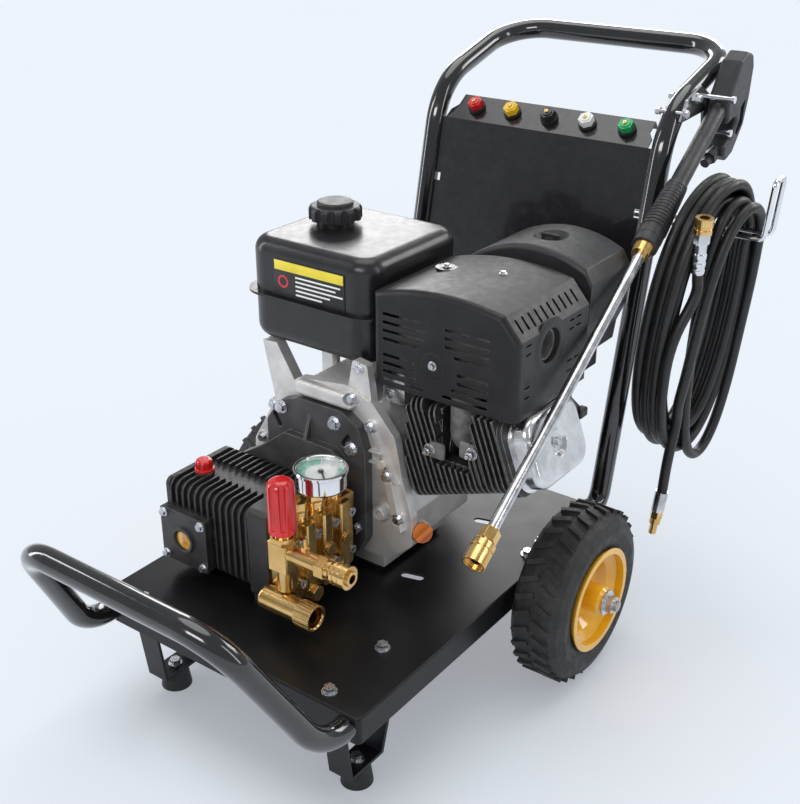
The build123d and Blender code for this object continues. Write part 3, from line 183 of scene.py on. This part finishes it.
def surface(name, dark, light, rough, metal=0.0, mottle=30, grain=0, bump=0.0, coat=0.0, edge_highlight=None,
            stretch=(1, 1, 1), specular=0.5):
    # mottled colour, uneven gloss, a fine grain and, when asked, a lighter colour along sharp edges,
    # which is a painted edge highlight broken up by noise
    material = bpy.data.materials.new(name)
    material.use_nodes = True
    tree = material.node_tree
    shader = tree.nodes["Principled BSDF"]
    blotch = spread(tree, noise(tree, mottle, 5, stretch), 0.35, 0.65)
    colour = mix(tree, blotch, dark, light)
    gloss = spread(tree, noise(tree, mottle * 3.1, 3, stretch), 0.3, 0.7, rough[0], rough[1])
    normal = None
    if edge_highlight:
        radius, highlight_colour, amount = edge_highlight
        mask, normal = edge_mask(tree, radius)
        # painted highlight: the lighter highlight colour is mixed in along sharp edges, in patches set
        # by noise
        highlight_breakup = spread(tree, noise(tree, 160, 4), 0.3, 0.6, amount * 0.4, amount)
        highlight_amount = math_node(tree, "MULTIPLY", mask, highlight_breakup)
        colour = mix(tree, highlight_amount, colour, highlight_colour)
    if grain:
        relief = tree.nodes.new("ShaderNodeBump")
        relief.inputs["Strength"].default_value = bump
        relief.inputs["Distance"].default_value = 0.0006
        tree.links.new(noise(tree, grain, 3, stretch), relief.inputs["Height"])
        if normal:
            tree.links.new(normal, relief.inputs["Normal"])
        normal = relief.outputs["Normal"]
    if normal:
        tree.links.new(normal, shader.inputs["Normal"])
    tree.links.new(colour, shader.inputs["Base Color"])
    tree.links.new(gloss, shader.inputs["Roughness"])
    shader.inputs["Metallic"].default_value = metal
    shader.inputs["Specular IOR Level"].default_value = specular
    if coat:
        shader.inputs["Coat Weight"].default_value = coat
        shader.inputs["Coat Roughness"].default_value = 0.06
    return material


def banded(name, low, high, mask, rough=(0.15, 0.3), bump=0.04):
    # one metal where the mask is 0 and another where it is 1
    material = surface(name, low[0], low[1], rough, metal=1.0, mottle=40, grain=1200, bump=bump)
    tree = material.node_tree
    shader = tree.nodes["Principled BSDF"]
    first = shader.inputs["Base Color"].links[0].from_socket
    second = mix(tree, spread(tree, noise(tree, 40, 4), 0.35, 0.65), high[0], high[1])
    tree.links.new(mix(tree, mask(tree), first, second), shader.inputs["Base Color"])
    return material


def lance_nut_mask(tree):
    return spread(tree, height_along(tree, LANCE_DIRECTION), *LANCE_NUT_AT)


def hose_end_mask(tree):
    # brass beyond the crimped ferrules, above the upper one and below the lower one
    from_middle = math_node(tree, "SUBTRACT", height_along(tree, (0, 0, 1)), HOSE_ENDS_MIDDLE)
    return spread(tree, math_node(tree, "ABSOLUTE", from_middle), *BRASS_FROM)


BRASS = ((0.66, 0.42, 0.15), (0.82, 0.56, 0.23))
STEEL = ((0.42, 0.42, 0.43), (0.74, 0.75, 0.77))
LANCE_DIRECTION = Vector((-0.0744, 0.8831, 0.4632))
SHELF_NORMAL = (0, -0.5722, 0.8201)
LANCE_NUT_AT = (0.4093, 0.4099)
HOSE_ENDS_MIDDLE, BRASS_FROM = 0.400, (0.2278, 0.2282)

# several looks below get a lighter colour along sharp edges, a painted edge highlight given as radius,
# colour and strength
M = {
    "tube_paint": surface(
        "tube_paint", (0.004, 0.004, 0.005), (0.009, 0.009, 0.010), (0.10, 0.19), grain=700,
        bump=0.02, coat=0.9,
    ),
    "deck_paint": surface(
        "deck_paint", (0.005, 0.005, 0.006), (0.009, 0.009, 0.010), (0.30, 0.36), mottle=9,
        grain=1500, bump=0.03, edge_highlight=(0.0012, (0.12, 0.12, 0.13), 0.5), specular=0.28,
    ),
    "panel_paint": surface(
        "panel_paint", (0.004, 0.004, 0.005), (0.009, 0.009, 0.010), (0.18, 0.28), grain=900,
        bump=0.03, coat=0.5, edge_highlight=(0.001, (0.12, 0.12, 0.13), 0.5),
    ),
    "tank_paint": surface(
        "tank_paint", (0.006, 0.006, 0.007), (0.012, 0.012, 0.013), (0.29, 0.37), grain=1300,
        bump=0.04, coat=0.12,
    ),
    "guard_paint": surface(
        "guard_paint", (0.006, 0.006, 0.007), (0.012, 0.012, 0.013), (0.36, 0.46), grain=1500,
        bump=0.10, edge_highlight=(0.0010, (0.22, 0.22, 0.23), 0.55), specular=0.38,
    ),
    "cast_black": surface(
        "cast_black", (0.016, 0.015, 0.015), (0.030, 0.029, 0.029), (0.32, 0.44), grain=1500,
        bump=0.25, edge_highlight=(0.0012, (0.17, 0.17, 0.18), 0.6),
    ),
    "plate_grey": surface(
        "plate_grey", (0.055, 0.054, 0.056), (0.090, 0.088, 0.090), (0.36, 0.5), metal=0.4,
        grain=1400, bump=0.25, edge_highlight=(0.0014, (0.35, 0.35, 0.36), 0.6),
    ),
    "raw_alloy": surface(
        "raw_alloy", (0.60, 0.585, 0.57), (0.76, 0.745, 0.73), (0.34, 0.48), metal=0.6, mottle=30,
        grain=1500, bump=0.2, edge_highlight=(0.0014, (0.80, 0.79, 0.77), 0.7),
    ),
    "fin_alloy": surface(
        "fin_alloy", (0.035, 0.035, 0.037), (0.075, 0.074, 0.074), (0.4, 0.6), metal=0.6,
        mottle=60, grain=1400, bump=0.3, edge_highlight=(0.0011, (0.70, 0.69, 0.67), 0.95),
    ),
    "bright_alloy": surface(
        "bright_alloy", (0.58, 0.58, 0.59), (0.80, 0.80, 0.81), (0.16, 0.30), metal=1.0, mottle=25,
        grain=900, bump=0.08, edge_highlight=(0.0012, (0.95, 0.95, 0.95), 0.6),
    ),
    "zinc": surface(
        "zinc", (0.45, 0.46, 0.49), (0.72, 0.73, 0.76), (0.2, 0.36), metal=1.0, mottle=120,
        grain=1500, bump=0.08, edge_highlight=(0.0006, (0.92, 0.92, 0.92), 0.6),
    ),
    "steel": surface(
        "steel", (0.35, 0.35, 0.36), (0.6, 0.6, 0.61), (0.22, 0.36), metal=1.0, mottle=60,
        grain=900, bump=0.08,
    ),
    "chrome": surface(
        "chrome", (0.68, 0.69, 0.71), (0.86, 0.87, 0.88), (0.05, 0.12), metal=1.0, mottle=18,
        grain=500, bump=0.015,
    ),
    "brass": surface(
        "brass", BRASS[0], BRASS[1], (0.17, 0.26), metal=1.0, mottle=30, grain=1500, bump=0.04,
        edge_highlight=(0.0009, (0.98, 0.80, 0.45), 0.6),
    ),
    "red": surface(
        "red", (0.58, 0.008, 0.010), (0.72, 0.014, 0.016), (0.16, 0.26), mottle=22, grain=700,
        bump=0.03, coat=0.5, edge_highlight=(0.0008, (0.85, 0.16, 0.13), 0.4),
    ),
    "yellow": surface(
        "yellow", (0.72, 0.42, 0.01), (0.88, 0.56, 0.02), (0.22, 0.34), grain=700, bump=0.04,
        coat=0.3,
    ),
    "black_gloss": surface(
        "black_gloss", (0.008, 0.008, 0.008), (0.018, 0.018, 0.018), (0.2, 0.32), grain=800,
        bump=0.04, coat=0.3,
    ),
    "white": surface(
        "white", (0.72, 0.72, 0.70), (0.86, 0.86, 0.85), (0.24, 0.36), grain=700, bump=0.04,
        coat=0.3,
    ),
    "green": surface(
        "green", (0.005, 0.22, 0.07), (0.012, 0.38, 0.12), (0.2, 0.32), grain=700, bump=0.04,
        coat=0.3,
    ),
    "orange": surface(
        "orange", (0.50, 0.12, 0.015), (0.66, 0.20, 0.03), (0.3, 0.42), grain=900, bump=0.08,
        edge_highlight=(0.0008, (0.85, 0.45, 0.2), 0.4),
    ),
    "rim_yellow": surface(
        "rim_yellow", (0.72, 0.36, 0.010), (0.88, 0.48, 0.018), (0.14, 0.24), mottle=14, grain=500,
        bump=0.03, coat=0.7, edge_highlight=(0.0010, (0.95, 0.72, 0.25), 0.4),
    ),
    "tyre": surface(
        "tyre", (0.010, 0.010, 0.010), (0.024, 0.023, 0.022), (0.5, 0.72), mottle=35, grain=1500,
        bump=0.3, edge_highlight=(0.0012, (0.06, 0.06, 0.06), 0.5),
    ),
    "rubber": surface(
        "rubber", (0.008, 0.008, 0.008), (0.018, 0.018, 0.018), (0.5, 0.7), mottle=60, grain=1500,
        bump=0.25,
    ),
    "hose_rubber": surface(
        "hose_rubber", (0.006, 0.006, 0.006), (0.013, 0.013, 0.013), (0.36, 0.5), mottle=40,
        grain=1200, bump=0.18,
    ),
    "moulded": surface(
        "moulded", (0.012, 0.012, 0.013), (0.026, 0.026, 0.028), (0.36, 0.5), mottle=25,
        grain=1600, bump=0.3, edge_highlight=(0.0010, (0.09, 0.09, 0.095), 0.5),
    ),
    "gun_plastic": surface(
        "gun_plastic", (0.018, 0.019, 0.021), (0.034, 0.035, 0.038), (0.36, 0.5), mottle=25,
        grain=1700, bump=0.35, edge_highlight=(0.0010, (0.10, 0.10, 0.11), 0.5),
    ),
    "rough_iron": surface(
        "rough_iron", (0.13, 0.125, 0.12), (0.22, 0.215, 0.205), (0.55, 0.78), metal=0.4,
        mottle=80, grain=500, bump=0.7,
    ),
    "ceramic": surface(
        "ceramic", (0.80, 0.78, 0.72), (0.90, 0.88, 0.83), (0.1, 0.2), grain=600, bump=0.02,
    ),
    "dial_white": surface(
        "dial_white", (0.80, 0.82, 0.80), (0.88, 0.90, 0.88), (0.35, 0.5), mottle=60, grain=900,
        bump=0.02,
    ),
    "dial_green": surface(
        "dial_green", (0.22, 0.62, 0.46), (0.32, 0.72, 0.55), (0.35, 0.5), mottle=60, grain=900,
        bump=0.02,
    ),
    "ink": surface(
        "ink", (0.010, 0.010, 0.010), (0.02, 0.02, 0.02), (0.35, 0.5), grain=900, bump=0.02,
    ),
    "label_yellow": surface(
        "label_yellow", (0.78, 0.62, 0.02), (0.88, 0.72, 0.05), (0.28, 0.4), grain=900, bump=0.02,
        coat=0.2,
    ),
    "amber": surface(
        "amber", (0.50, 0.22, 0.02), (0.85, 0.52, 0.10), (0.06, 0.12), mottle=70, grain=400,
        bump=0.05, coat=1.0,
    ),
    "lance_steel": banded("lance_steel", STEEL, BRASS, lance_nut_mask),
    "fitting_metal": banded("fitting_metal", STEEL, BRASS, hose_end_mask),
}


def make_glass():
    material = surface("clear_glass", (0.94, 0.97, 0.96), (1.0, 1.0, 1.0), (0.01, 0.03), mottle=20)
    shader = material.node_tree.nodes["Principled BSDF"]
    shader.inputs["Transmission Weight"].default_value = 1.0
    shader.inputs["IOR"].default_value = 1.2
    shader.inputs["Alpha"].default_value = 0.25
    return material


M["glass"] = make_glass()

NODE_LOOKS = {
    "tube_paint": ["front_bumper_tube", "handle_frame_tube"],
    "deck_paint": ["deck_plate", "mounting_brackets", "fan_shroud"],
    "panel_paint": ["handle_panel"],
    "tank_paint": ["fuel_tank"],
    "guard_paint": ["muffler_guard"],
    "cast_black": ["pump_crankcase", "pump_front_cover"],
    "plate_grey": ["gearbox_housing"],
    "raw_alloy": ["engine_side_cover", "engine_crankcase", "carburettor"],
    "fin_alloy": ["cylinder_block"],
    "bright_alloy": ["valve_cover"],
    "zinc": ["frame_bolts", "machine_bolts"],
    "steel": ["axle", "pump_crankshaft", "engine_crankshaft"],
    "chrome": ["side_hooks", "pressure_gauge"],
    "brass": [
        "pump_head", "inlet_cap", "valve_caps", "unloader_body", "outlet_collar", "lance_coupler",
    ],
    "red": ["nozzle_red", "pump_oil_cap", "unloader_knob"],
    "yellow": ["nozzle_yellow"],
    "black_gloss": ["nozzle_black", "gauge_needle"],
    "white": ["nozzle_white"],
    "green": ["nozzle_green"],
    "orange": ["oil_dipstick"],
    "rim_yellow": ["rim_left", "rim_right"],
    "tyre": ["tyre_left", "tyre_right"],
    "rubber": ["nozzle_grommets", "rubber_feet"],
    "moulded": [
        "fuel_cap", "air_cleaner", "air_cleaner_nut", "choke_lever", "recoil_handle", "lance_grip",
    ],
    "gun_plastic": ["gun_body", "gun_trigger"],
    "rough_iron": ["muffler", "flywheel"],
    "ceramic": ["pump_plungers"],
    "lance_steel": ["lance_tube"],
    "fitting_metal": ["hose_fittings"],
}


def paint_nodes():
    for look, nodes in NODE_LOOKS.items():
        for node in nodes:
            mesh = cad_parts[node].data
            mesh.materials.clear()
            mesh.materials.append(M[look])


# ---------------------------------------------------------------- piece builders
def finish_piece(name, mesh_builder, look, body, smooth=35):
    mesh = bpy.data.meshes.new(name)
    mesh_builder.to_mesh(mesh)
    mesh_builder.free()
    mesh.materials.append(M[look])
    mesh.shade_smooth()
    mesh.set_sharp_from_angle(angle=math.radians(smooth))
    piece = bpy.data.objects.new(name, mesh)
    bpy.context.scene.collection.objects.link(piece)
    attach(piece, body)
    return piece


def turn_about(axis):
    return Vector(axis).normalized().to_track_quat("Z", "Y").to_matrix().to_4x4()


def lathe(builder, centre, axis, profile, segments=40, start=0.0, sweep=360.0):
    # profile: (radius, height along the axis) in millimetres; the ends are closed on the axis
    place = Matrix.Translation(Vector(centre)) @ turn_about(axis)
    full = abs(sweep - 360) < 1e-6
    count = segments if full else segments + 1
    rings = []
    for i in range(count):
        angle = math.radians(start + sweep * i / segments)
        c, s = math.cos(angle) / 1000, math.sin(angle) / 1000
        ring = [builder.verts.new(place @ Vector((r * c, r * s, h / 1000))) for r, h in profile]
        rings.append(ring)
    pairs = list(zip(rings, rings[1:] + rings[:1])) if full else list(zip(rings, rings[1:]))
    for a, b in pairs:
        for j in range(len(profile) - 1):
            builder.faces.new((a[j], b[j], b[j + 1], a[j + 1]))
        if not full or profile[0][0] > 0.001:
            builder.faces.new((a[-1], b[-1], b[0], a[0]))
    if not full:
        builder.faces.new(rings[0])
        builder.faces.new(rings[-1][::-1])
    bmesh.ops.remove_doubles(builder, verts=builder.verts, dist=1e-6)
    bmesh.ops.dissolve_degenerate(builder, edges=builder.edges, dist=1e-7)
    bmesh.ops.recalc_face_normals(builder, faces=builder.faces)


def soft_box(builder, centre, size, rotation=(0, 0, 0), bevel=0.8, segments=2):
    # a box with rounded edges; size and bevel in millimetres, rotation in degrees
    made = bmesh.ops.create_cube(builder, size=1.0)
    verts = made["verts"]
    turn = Matrix.Identity(4)
    for axis, angle in zip("XYZ", rotation):
        turn = Matrix.Rotation(math.radians(angle), 4, axis) @ turn
    scale = Matrix.Diagonal((*[s / 1000 for s in size], 1))
    place = Matrix.Translation(Vector(centre)) @ turn @ scale
    bmesh.ops.transform(builder, matrix=place, verts=verts)
    edges = list({e for v in verts for e in v.link_edges})
    width = bevel / 1000
    bmesh.ops.bevel(builder, geom=edges, offset=width, segments=segments, affect="EDGES", profile=0.5)


def hex_screw(builder, seat, out, flats, height, washer=0.0):
    # washer, chamfered hexagon head with a shallow dish
    radius = flats / 2 / math.cos(math.radians(30))
    base = 0.0
    if washer:
        ring = [(0, 0), (washer - 0.3, 0), (washer, 0.3), (washer, 1.1), (washer - 0.4, 1.5), (0, 1.5)]
        lathe(builder, seat, out, ring, 32)
        base = 1.4
    top = base + height
    profile = [
        (0, base), (radius, base), (radius, base + height * 0.8), (radius * 0.88, top),
        (radius * 0.6, top), (radius * 0.5, top - 0.5), (0, top - 0.5),
    ]
    lathe(builder, seat, out, profile, 6)


# ---------------------------------------------------------------- hose
UPPER_TAIL = [(0.304, 0.223, 0.599), (0.302, 0.226, 0.566), (0.304, 0.233, 0.536)]
LOWER_TAIL = [
    (0.285, 0.254, 0.330), (0.282, 0.250, 0.290), (0.279, 0.246, 0.250), (0.278, 0.243, 0.206),
]
HOSE_DIAMETER = 0.016
COIL_CENTRE = Vector((0.274, 0.313, 0.470))
COIL_TURN = Matrix.Rotation(math.radians(5.5), 4, "Y") @ Matrix.Rotation(math.radians(-8), 4, "Z")
# how far each turn reaches to the front, the ground, the rear and the top, in millimetres
REACH = {
    "front": [112, 114, 110, 114, 102, 104, 96],
    "down": [213, 208, 214, 204, 194, 200, 184],
    "rear": [82, 80, 82, 70, 66, 68, 66],
    "top": [212, 210, 213, 192, 190, 186, 178],
}
# the sideways place of the turns at some winding angles in degrees
LAYER_ANGLES = [161, 260, 620, 980, 1340, 1520, 1800, 2160, 2430, 2700]
LAYERS = [27, 23, 9, -6, -20, -20, -8, 5, 17, 24]
FIRST_ANGLE, LAST_ANGLE, STEP = 180, 2557, 24
SQUARENESS = 0.88
# the last turn hangs looser, crosses over the rack and comes down in front of the others
LOOSE_TURN = [
    (26, 47, 148), (26, 28, 178), (25, 2, 188), (24, -24, 178), (24, -43, 146), (25, -52, 84),
    (27, -50, 0), (31, -46, -80), (33, -36, -145), (34, -16, -200), (34, 14, -232),
    (33, 46, -228), (32, 70, -190), (31, 82, -120), (30, 84, -35), (31, 82, 50), (33, 72, 112),
    (36, 62, 148), (38, 40, 172), (39, 13, 180), (39, -13, 170), (38, -36, 140), (38, -50, 94),
    (38, -60, 40), (38, -64, -15), (38, -67, -70), (36, -69, -112),
]


def reach(name, angle, first):
    values = REACH[name]
    return float(np.interp(angle, [first + 360 * k for k in range(len(values))], values))


def coil_points():
    points = []
    for angle in range(FIRST_ANGLE, LAST_ANGLE, STEP):
        c, s = math.cos(math.radians(angle)), math.sin(math.radians(angle))
        y = reach("rear", angle, 360) if c > 0 else reach("front", angle, 180)
        z = reach("top", angle, 450) if s > 0 else reach("down", angle, 270)
        y = math.copysign(y * abs(c) ** SQUARENESS, c)
        z = math.copysign(z * abs(s) ** SQUARENESS, s)
        x = float(np.interp(angle, LAYER_ANGLES, LAYERS))
        points.append((x, y, z))
    turned = [COIL_TURN @ (Vector(p) / 1000) for p in points + LOOSE_TURN]
    return [tuple(COIL_CENTRE + p) for p in turned]


def make_hose():
    route = UPPER_TAIL + coil_points() + LOWER_TAIL
    data = bpy.data.curves.new("hose", "CURVE")
    data.dimensions = "3D"
    data.bevel_depth = HOSE_DIAMETER / 2
    data.bevel_resolution = 6
    data.resolution_u = 6
    data.use_fill_caps = True
    spline = data.splines.new("NURBS")
    spline.points.add(len(route) - 1)
    for point, at in zip(spline.points, route):
        point.co = (*at, 1)
    spline.order_u = 3
    spline.use_endpoint_u = True
    data.materials.append(M["hose_rubber"])
    hose = bpy.data.objects.new("hose", data)
    bpy.context.scene.collection.objects.link(hose)
    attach(hose, "cart")
    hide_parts("hose_coil", "hose_tail_upper", "hose_tail_lower")
    builder = bmesh.new()
    top, below = Vector(UPPER_TAIL[0]), Vector(UPPER_TAIL[1])
    down = (below - top).normalized()
    crimped = [
        (8.1, 0), (9.6, 0), (9.9, 0.6), (9.9, 8), (9.3, 9), (9.3, 12), (9.9, 13), (9.9, 19),
        (9.3, 20), (9.3, 23), (9.9, 24), (9.7, 29), (8.5, 31), (8.1, 31),
    ]
    lathe(builder, top, down, crimped, 40)
    ferrule = finish_piece("hose_ferrule", builder, "chrome", "cart")


# ---------------------------------------------------------------- pump details
def make_gauge():
    low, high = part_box("pressure_gauge")
    centre = Vector(((low.x + high.x) / 2, (low.y + high.y) / 2, high.z))
    up = (0, 0, 1)
    floor = centre - Vector((0, 0, 0.0088))
    builder = bmesh.new()
    lathe(builder, floor, up, [(0, 0), (30.8, 0), (30.8, 0.5), (0, 0.5)], 64)
    finish_piece("gauge_dial", builder, "dial_white", "cart")
    builder = bmesh.new()
    lathe(builder, floor, up, [(22.5, 0.5), (30.2, 0.5), (30.2, 0.62), (22.5, 0.62)], 96, -50, 285)
    finish_piece("gauge_band", builder, "dial_green", "cart")
    builder = bmesh.new()
    for i in range(41):
        angle = math.radians(-45 + i * 270 / 40)
        long = i % 5 == 0
        middle = 25.4 if long else 27.2
        out = Vector((math.cos(angle), math.sin(angle), 0)) * middle / 1000
        at = floor + out + Vector((0, 0, 0.00075))
        size = (7.4 if long else 3.6, 0.9 if long else 0.45, 0.2)
        soft_box(builder, at, size, (0, 0, math.degrees(angle)), 0.05, 1)
    lathe(builder, floor, up, [(21.2, 0.5), (21.7, 0.5), (21.7, 0.66), (21.2, 0.66)], 80, -45, 270)
    finish_piece("gauge_scale", builder, "ink", "cart")
    builder = bmesh.new()
    pane = [(0, 7.3), (26, 7.1), (30.8, 6.6), (30.8, 5.6), (26, 6.1), (0, 6.3)]
    lathe(builder, floor, up, pane, 64)
    finish_piece("gauge_glass", builder, "glass", "cart")
    builder = bmesh.new()
    rolled = [
        (31.0, -1.0), (31.6, 0.2), (33.2, 0.9), (35.0, 0.6), (36.2, -0.6), (36.3, -3.4),
        (35.2, -4.6), (34.2, -4.9), (31.0, -4.9),
    ]
    lathe(builder, centre, up, rolled, 72)
    finish_piece("gauge_bezel", builder, "chrome", "cart")


def make_sight_glass():
    low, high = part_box("pump_front_cover")
    centre = Vector(((low.x + high.x) / 2, low.y, (low.z + high.z) / 2 - 0.001))
    builder = bmesh.new()
    window = [(0, -3.2), (0, -1.0), (6, -1.3), (11.5, -2.2), (14.6, -3.4), (14.6, -4.4)]
    lathe(builder, centre, (0, -1, 0), window, 48)
    finish_piece("sight_window", builder, "amber", "cart")
    builder = bmesh.new()
    ring = [(14.5, -4), (14.5, 0.2), (15.4, 0.8), (18.2, 0.8), (19.0, 0.0), (19.0, -4)]
    lathe(builder, centre, (0, -1, 0), ring, 48)
    finish_piece("sight_ring", builder, "cast_black", "cart")


def make_nozzle_tips():
    for colour in ("red", "yellow", "black", "white", "green"):
        low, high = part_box("nozzle_" + colour)
        middle = (low + high) / 2
        normal = Vector(SHELF_NORMAL)
        builder = bmesh.new()
        at = middle + normal * 0.0101
        tip = [(0, -3), (3.1, -3), (3.1, 5.6), (2.6, 6.2), (1.3, 6.2), (0.9, 5.2), (0, 5.2)]
        lathe(builder, at, normal, tip, 28)
        finish_piece("tip_" + colour, builder, "brass", colour + "_nozzle")


# ---------------------------------------------------------------- engine details
def make_tank_label():
    # a dark ground with a yellow strip, blank bars in place of lettering and a red ring
    tank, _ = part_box("fuel_tank")
    front = tank.y + 0.008
    across, centre = -0.0955, 0.571
    builder = bmesh.new()
    soft_box(builder, (across, front - 0.0006, centre), (124, 1.0, 52), bevel=0.4)
    finish_piece("label_ground", builder, "ink", "cart")
    builder = bmesh.new()
    soft_box(builder, (across, front - 0.0012, centre + 0.018), (120, 0.6, 13.5), bevel=0.25)
    finish_piece("label_strip", builder, "label_yellow", "cart")
    builder = bmesh.new()
    for row, width in enumerate((78, 70, 82, 60, 46)):
        at = (across - 0.023 + width / 2000, front - 0.0012, centre + 0.0055 - row * 0.0062)
        soft_box(builder, at, (width, 0.5, 2.4), bevel=0.2)
    finish_piece("label_bars", builder, "dial_white", "cart")
    builder = bmesh.new()
    ring = (across - 0.045, front - 0.0009, centre - 0.0045)
    lathe(builder, ring, (0, -1, 0), [(6.4, 0), (9.2, 0), (9.2, 0.5), (6.4, 0.5)], 36)
    finish_piece("label_ring", builder, "red", "cart")


def make_guard_details():
    low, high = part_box("muffler_guard")
    front = Vector((low.x + 0.095, low.y, low.z + 0.047))
    builder = bmesh.new()
    dish = [(17, -1.8), (17.4, 0.05), (16.4, 0.4), (10, -0.6), (7.5, -0.9), (0, -1.0)]
    lathe(builder, front, (0, -1, 0), dish, 48)
    finish_piece("guard_dimple", builder, "guard_paint", "cart")
    builder = bmesh.new()
    hex_screw(builder, front + Vector((0, 0.0012, 0)), (0, -1, 0), 8, 4, 6.5)
    finish_piece("guard_screw", builder, "zinc", "cart")
    for i, (dx, dy, top) in enumerate(((0.043, 0.106, 0.6015), (0.124, 0.116, 0.6054))):
        at = Vector((low.x + dx, low.y + dy, top))
        builder = bmesh.new()
        dish = [(15.4, -2.0), (15.0, 0.1), (14.2, 0.3), (9, -0.2), (0, -0.3)]
        lathe(builder, at, (0, 0, 1), dish, 48)
        finish_piece("top_dimple_%d" % i, builder, "black_gloss", "cart")
        builder = bmesh.new()
        hex_screw(builder, at, (0, 0, 1), 7, 3, 5.5)
        finish_piece("top_screw_%d" % i, builder, "zinc", "cart")
    side = Vector((high.x, low.y + 0.077, low.z + 0.081))
    builder = bmesh.new()
    lip = [(23.1, -2.0), (23.1, 0.9), (24.5, 1.6), (29, 1.6), (33, 0.9), (37, 0.2), (37.5, -1.0)]
    lathe(builder, side, (1, 0, 0), lip, 64)
    finish_piece("exhaust_ring", builder, "guard_paint", "cart")


def make_exhaust_studs():
    elbow = Vector((0.150, -0.146, 0.400))
    offsets = ((-0.034, -0.006), (0.031, 0.008))
    builder = bmesh.new()
    for dx, dz in offsets:
        soft_box(builder, elbow + Vector((dx * 0.72, 0, dz)), (24, 7, 24), bevel=3.5, segments=3)
    finish_piece("exhaust_ears", builder, "rough_iron", "cart")
    builder = bmesh.new()
    for dx, dz in offsets:
        seat = elbow + Vector((dx, -0.0035, dz))
        hex_screw(builder, seat, (0, -1, 0), 11, 7, 8.5)
        lathe(builder, seat, (0, -1, 0), [(0, 7), (3, 7), (3, 13), (2.6, 13.6), (0, 13.6)], 24)
    finish_piece("exhaust_nuts", builder, "zinc", "cart")


def make_heat_shield():
    low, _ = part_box("muffler_guard")
    builder = bmesh.new()
    soft_box(builder, (low.x + 0.018, low.y + 0.022, low.z - 0.012), (36, 1.6, 46), bevel=0.7)
    soft_box(builder, (low.x + 0.018, low.y + 0.030, low.z + 0.010), (36, 17, 1.6), bevel=0.7)
    finish_piece("heat_shield", builder, "zinc", "cart")
    builder = bmesh.new()
    hex_screw(builder, (low.x + 0.012, low.y + 0.0212, low.z - 0.023), (0, -1, 0), 10, 4, 8)
    finish_piece("shield_screw", builder, "zinc", "cart")


def make_safety_lock():
    low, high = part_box("gun_trigger")
    builder = bmesh.new()
    at = ((low.x + high.x) / 2, low.y + 0.006, low.z + 0.006)
    soft_box(builder, at, (7, 4, 14), (-24, 0, 0), bevel=1.2, segments=3)
    finish_piece("safety_lock", builder, "red", "trigger")


def make_floor():
    builder = bmesh.new()
    bmesh.ops.create_grid(builder, x_segments=40, y_segments=40, size=14)
    mesh = bpy.data.meshes.new("floor")
    builder.to_mesh(mesh)
    builder.free()
    material = surface(
        "floor_paper", (0.765, 0.80, 0.85), (0.775, 0.81, 0.86), (0.75, 0.85), mottle=0.8, grain=60,
        bump=0.01, specular=0.1,
    )
    shader = material.node_tree.nodes["Principled BSDF"]
    shader.inputs["Emission Color"].default_value = (0.78, 0.82, 0.88, 1)
    shader.inputs["Emission Strength"].default_value = 0.36
    mesh.materials.append(material)
    floor = bpy.data.objects.new("floor", mesh)
    floor.location.z = -0.0005
    bpy.context.scene.collection.objects.link(floor)
    return floor


make_camera()
make_studio(make_floor())
paint_nodes()
make_hose()
make_gauge()
make_sight_glass()
make_nozzle_tips()
make_tank_label()
make_guard_details()
make_exhaust_studs()
make_heat_shield()
make_safety_lock()
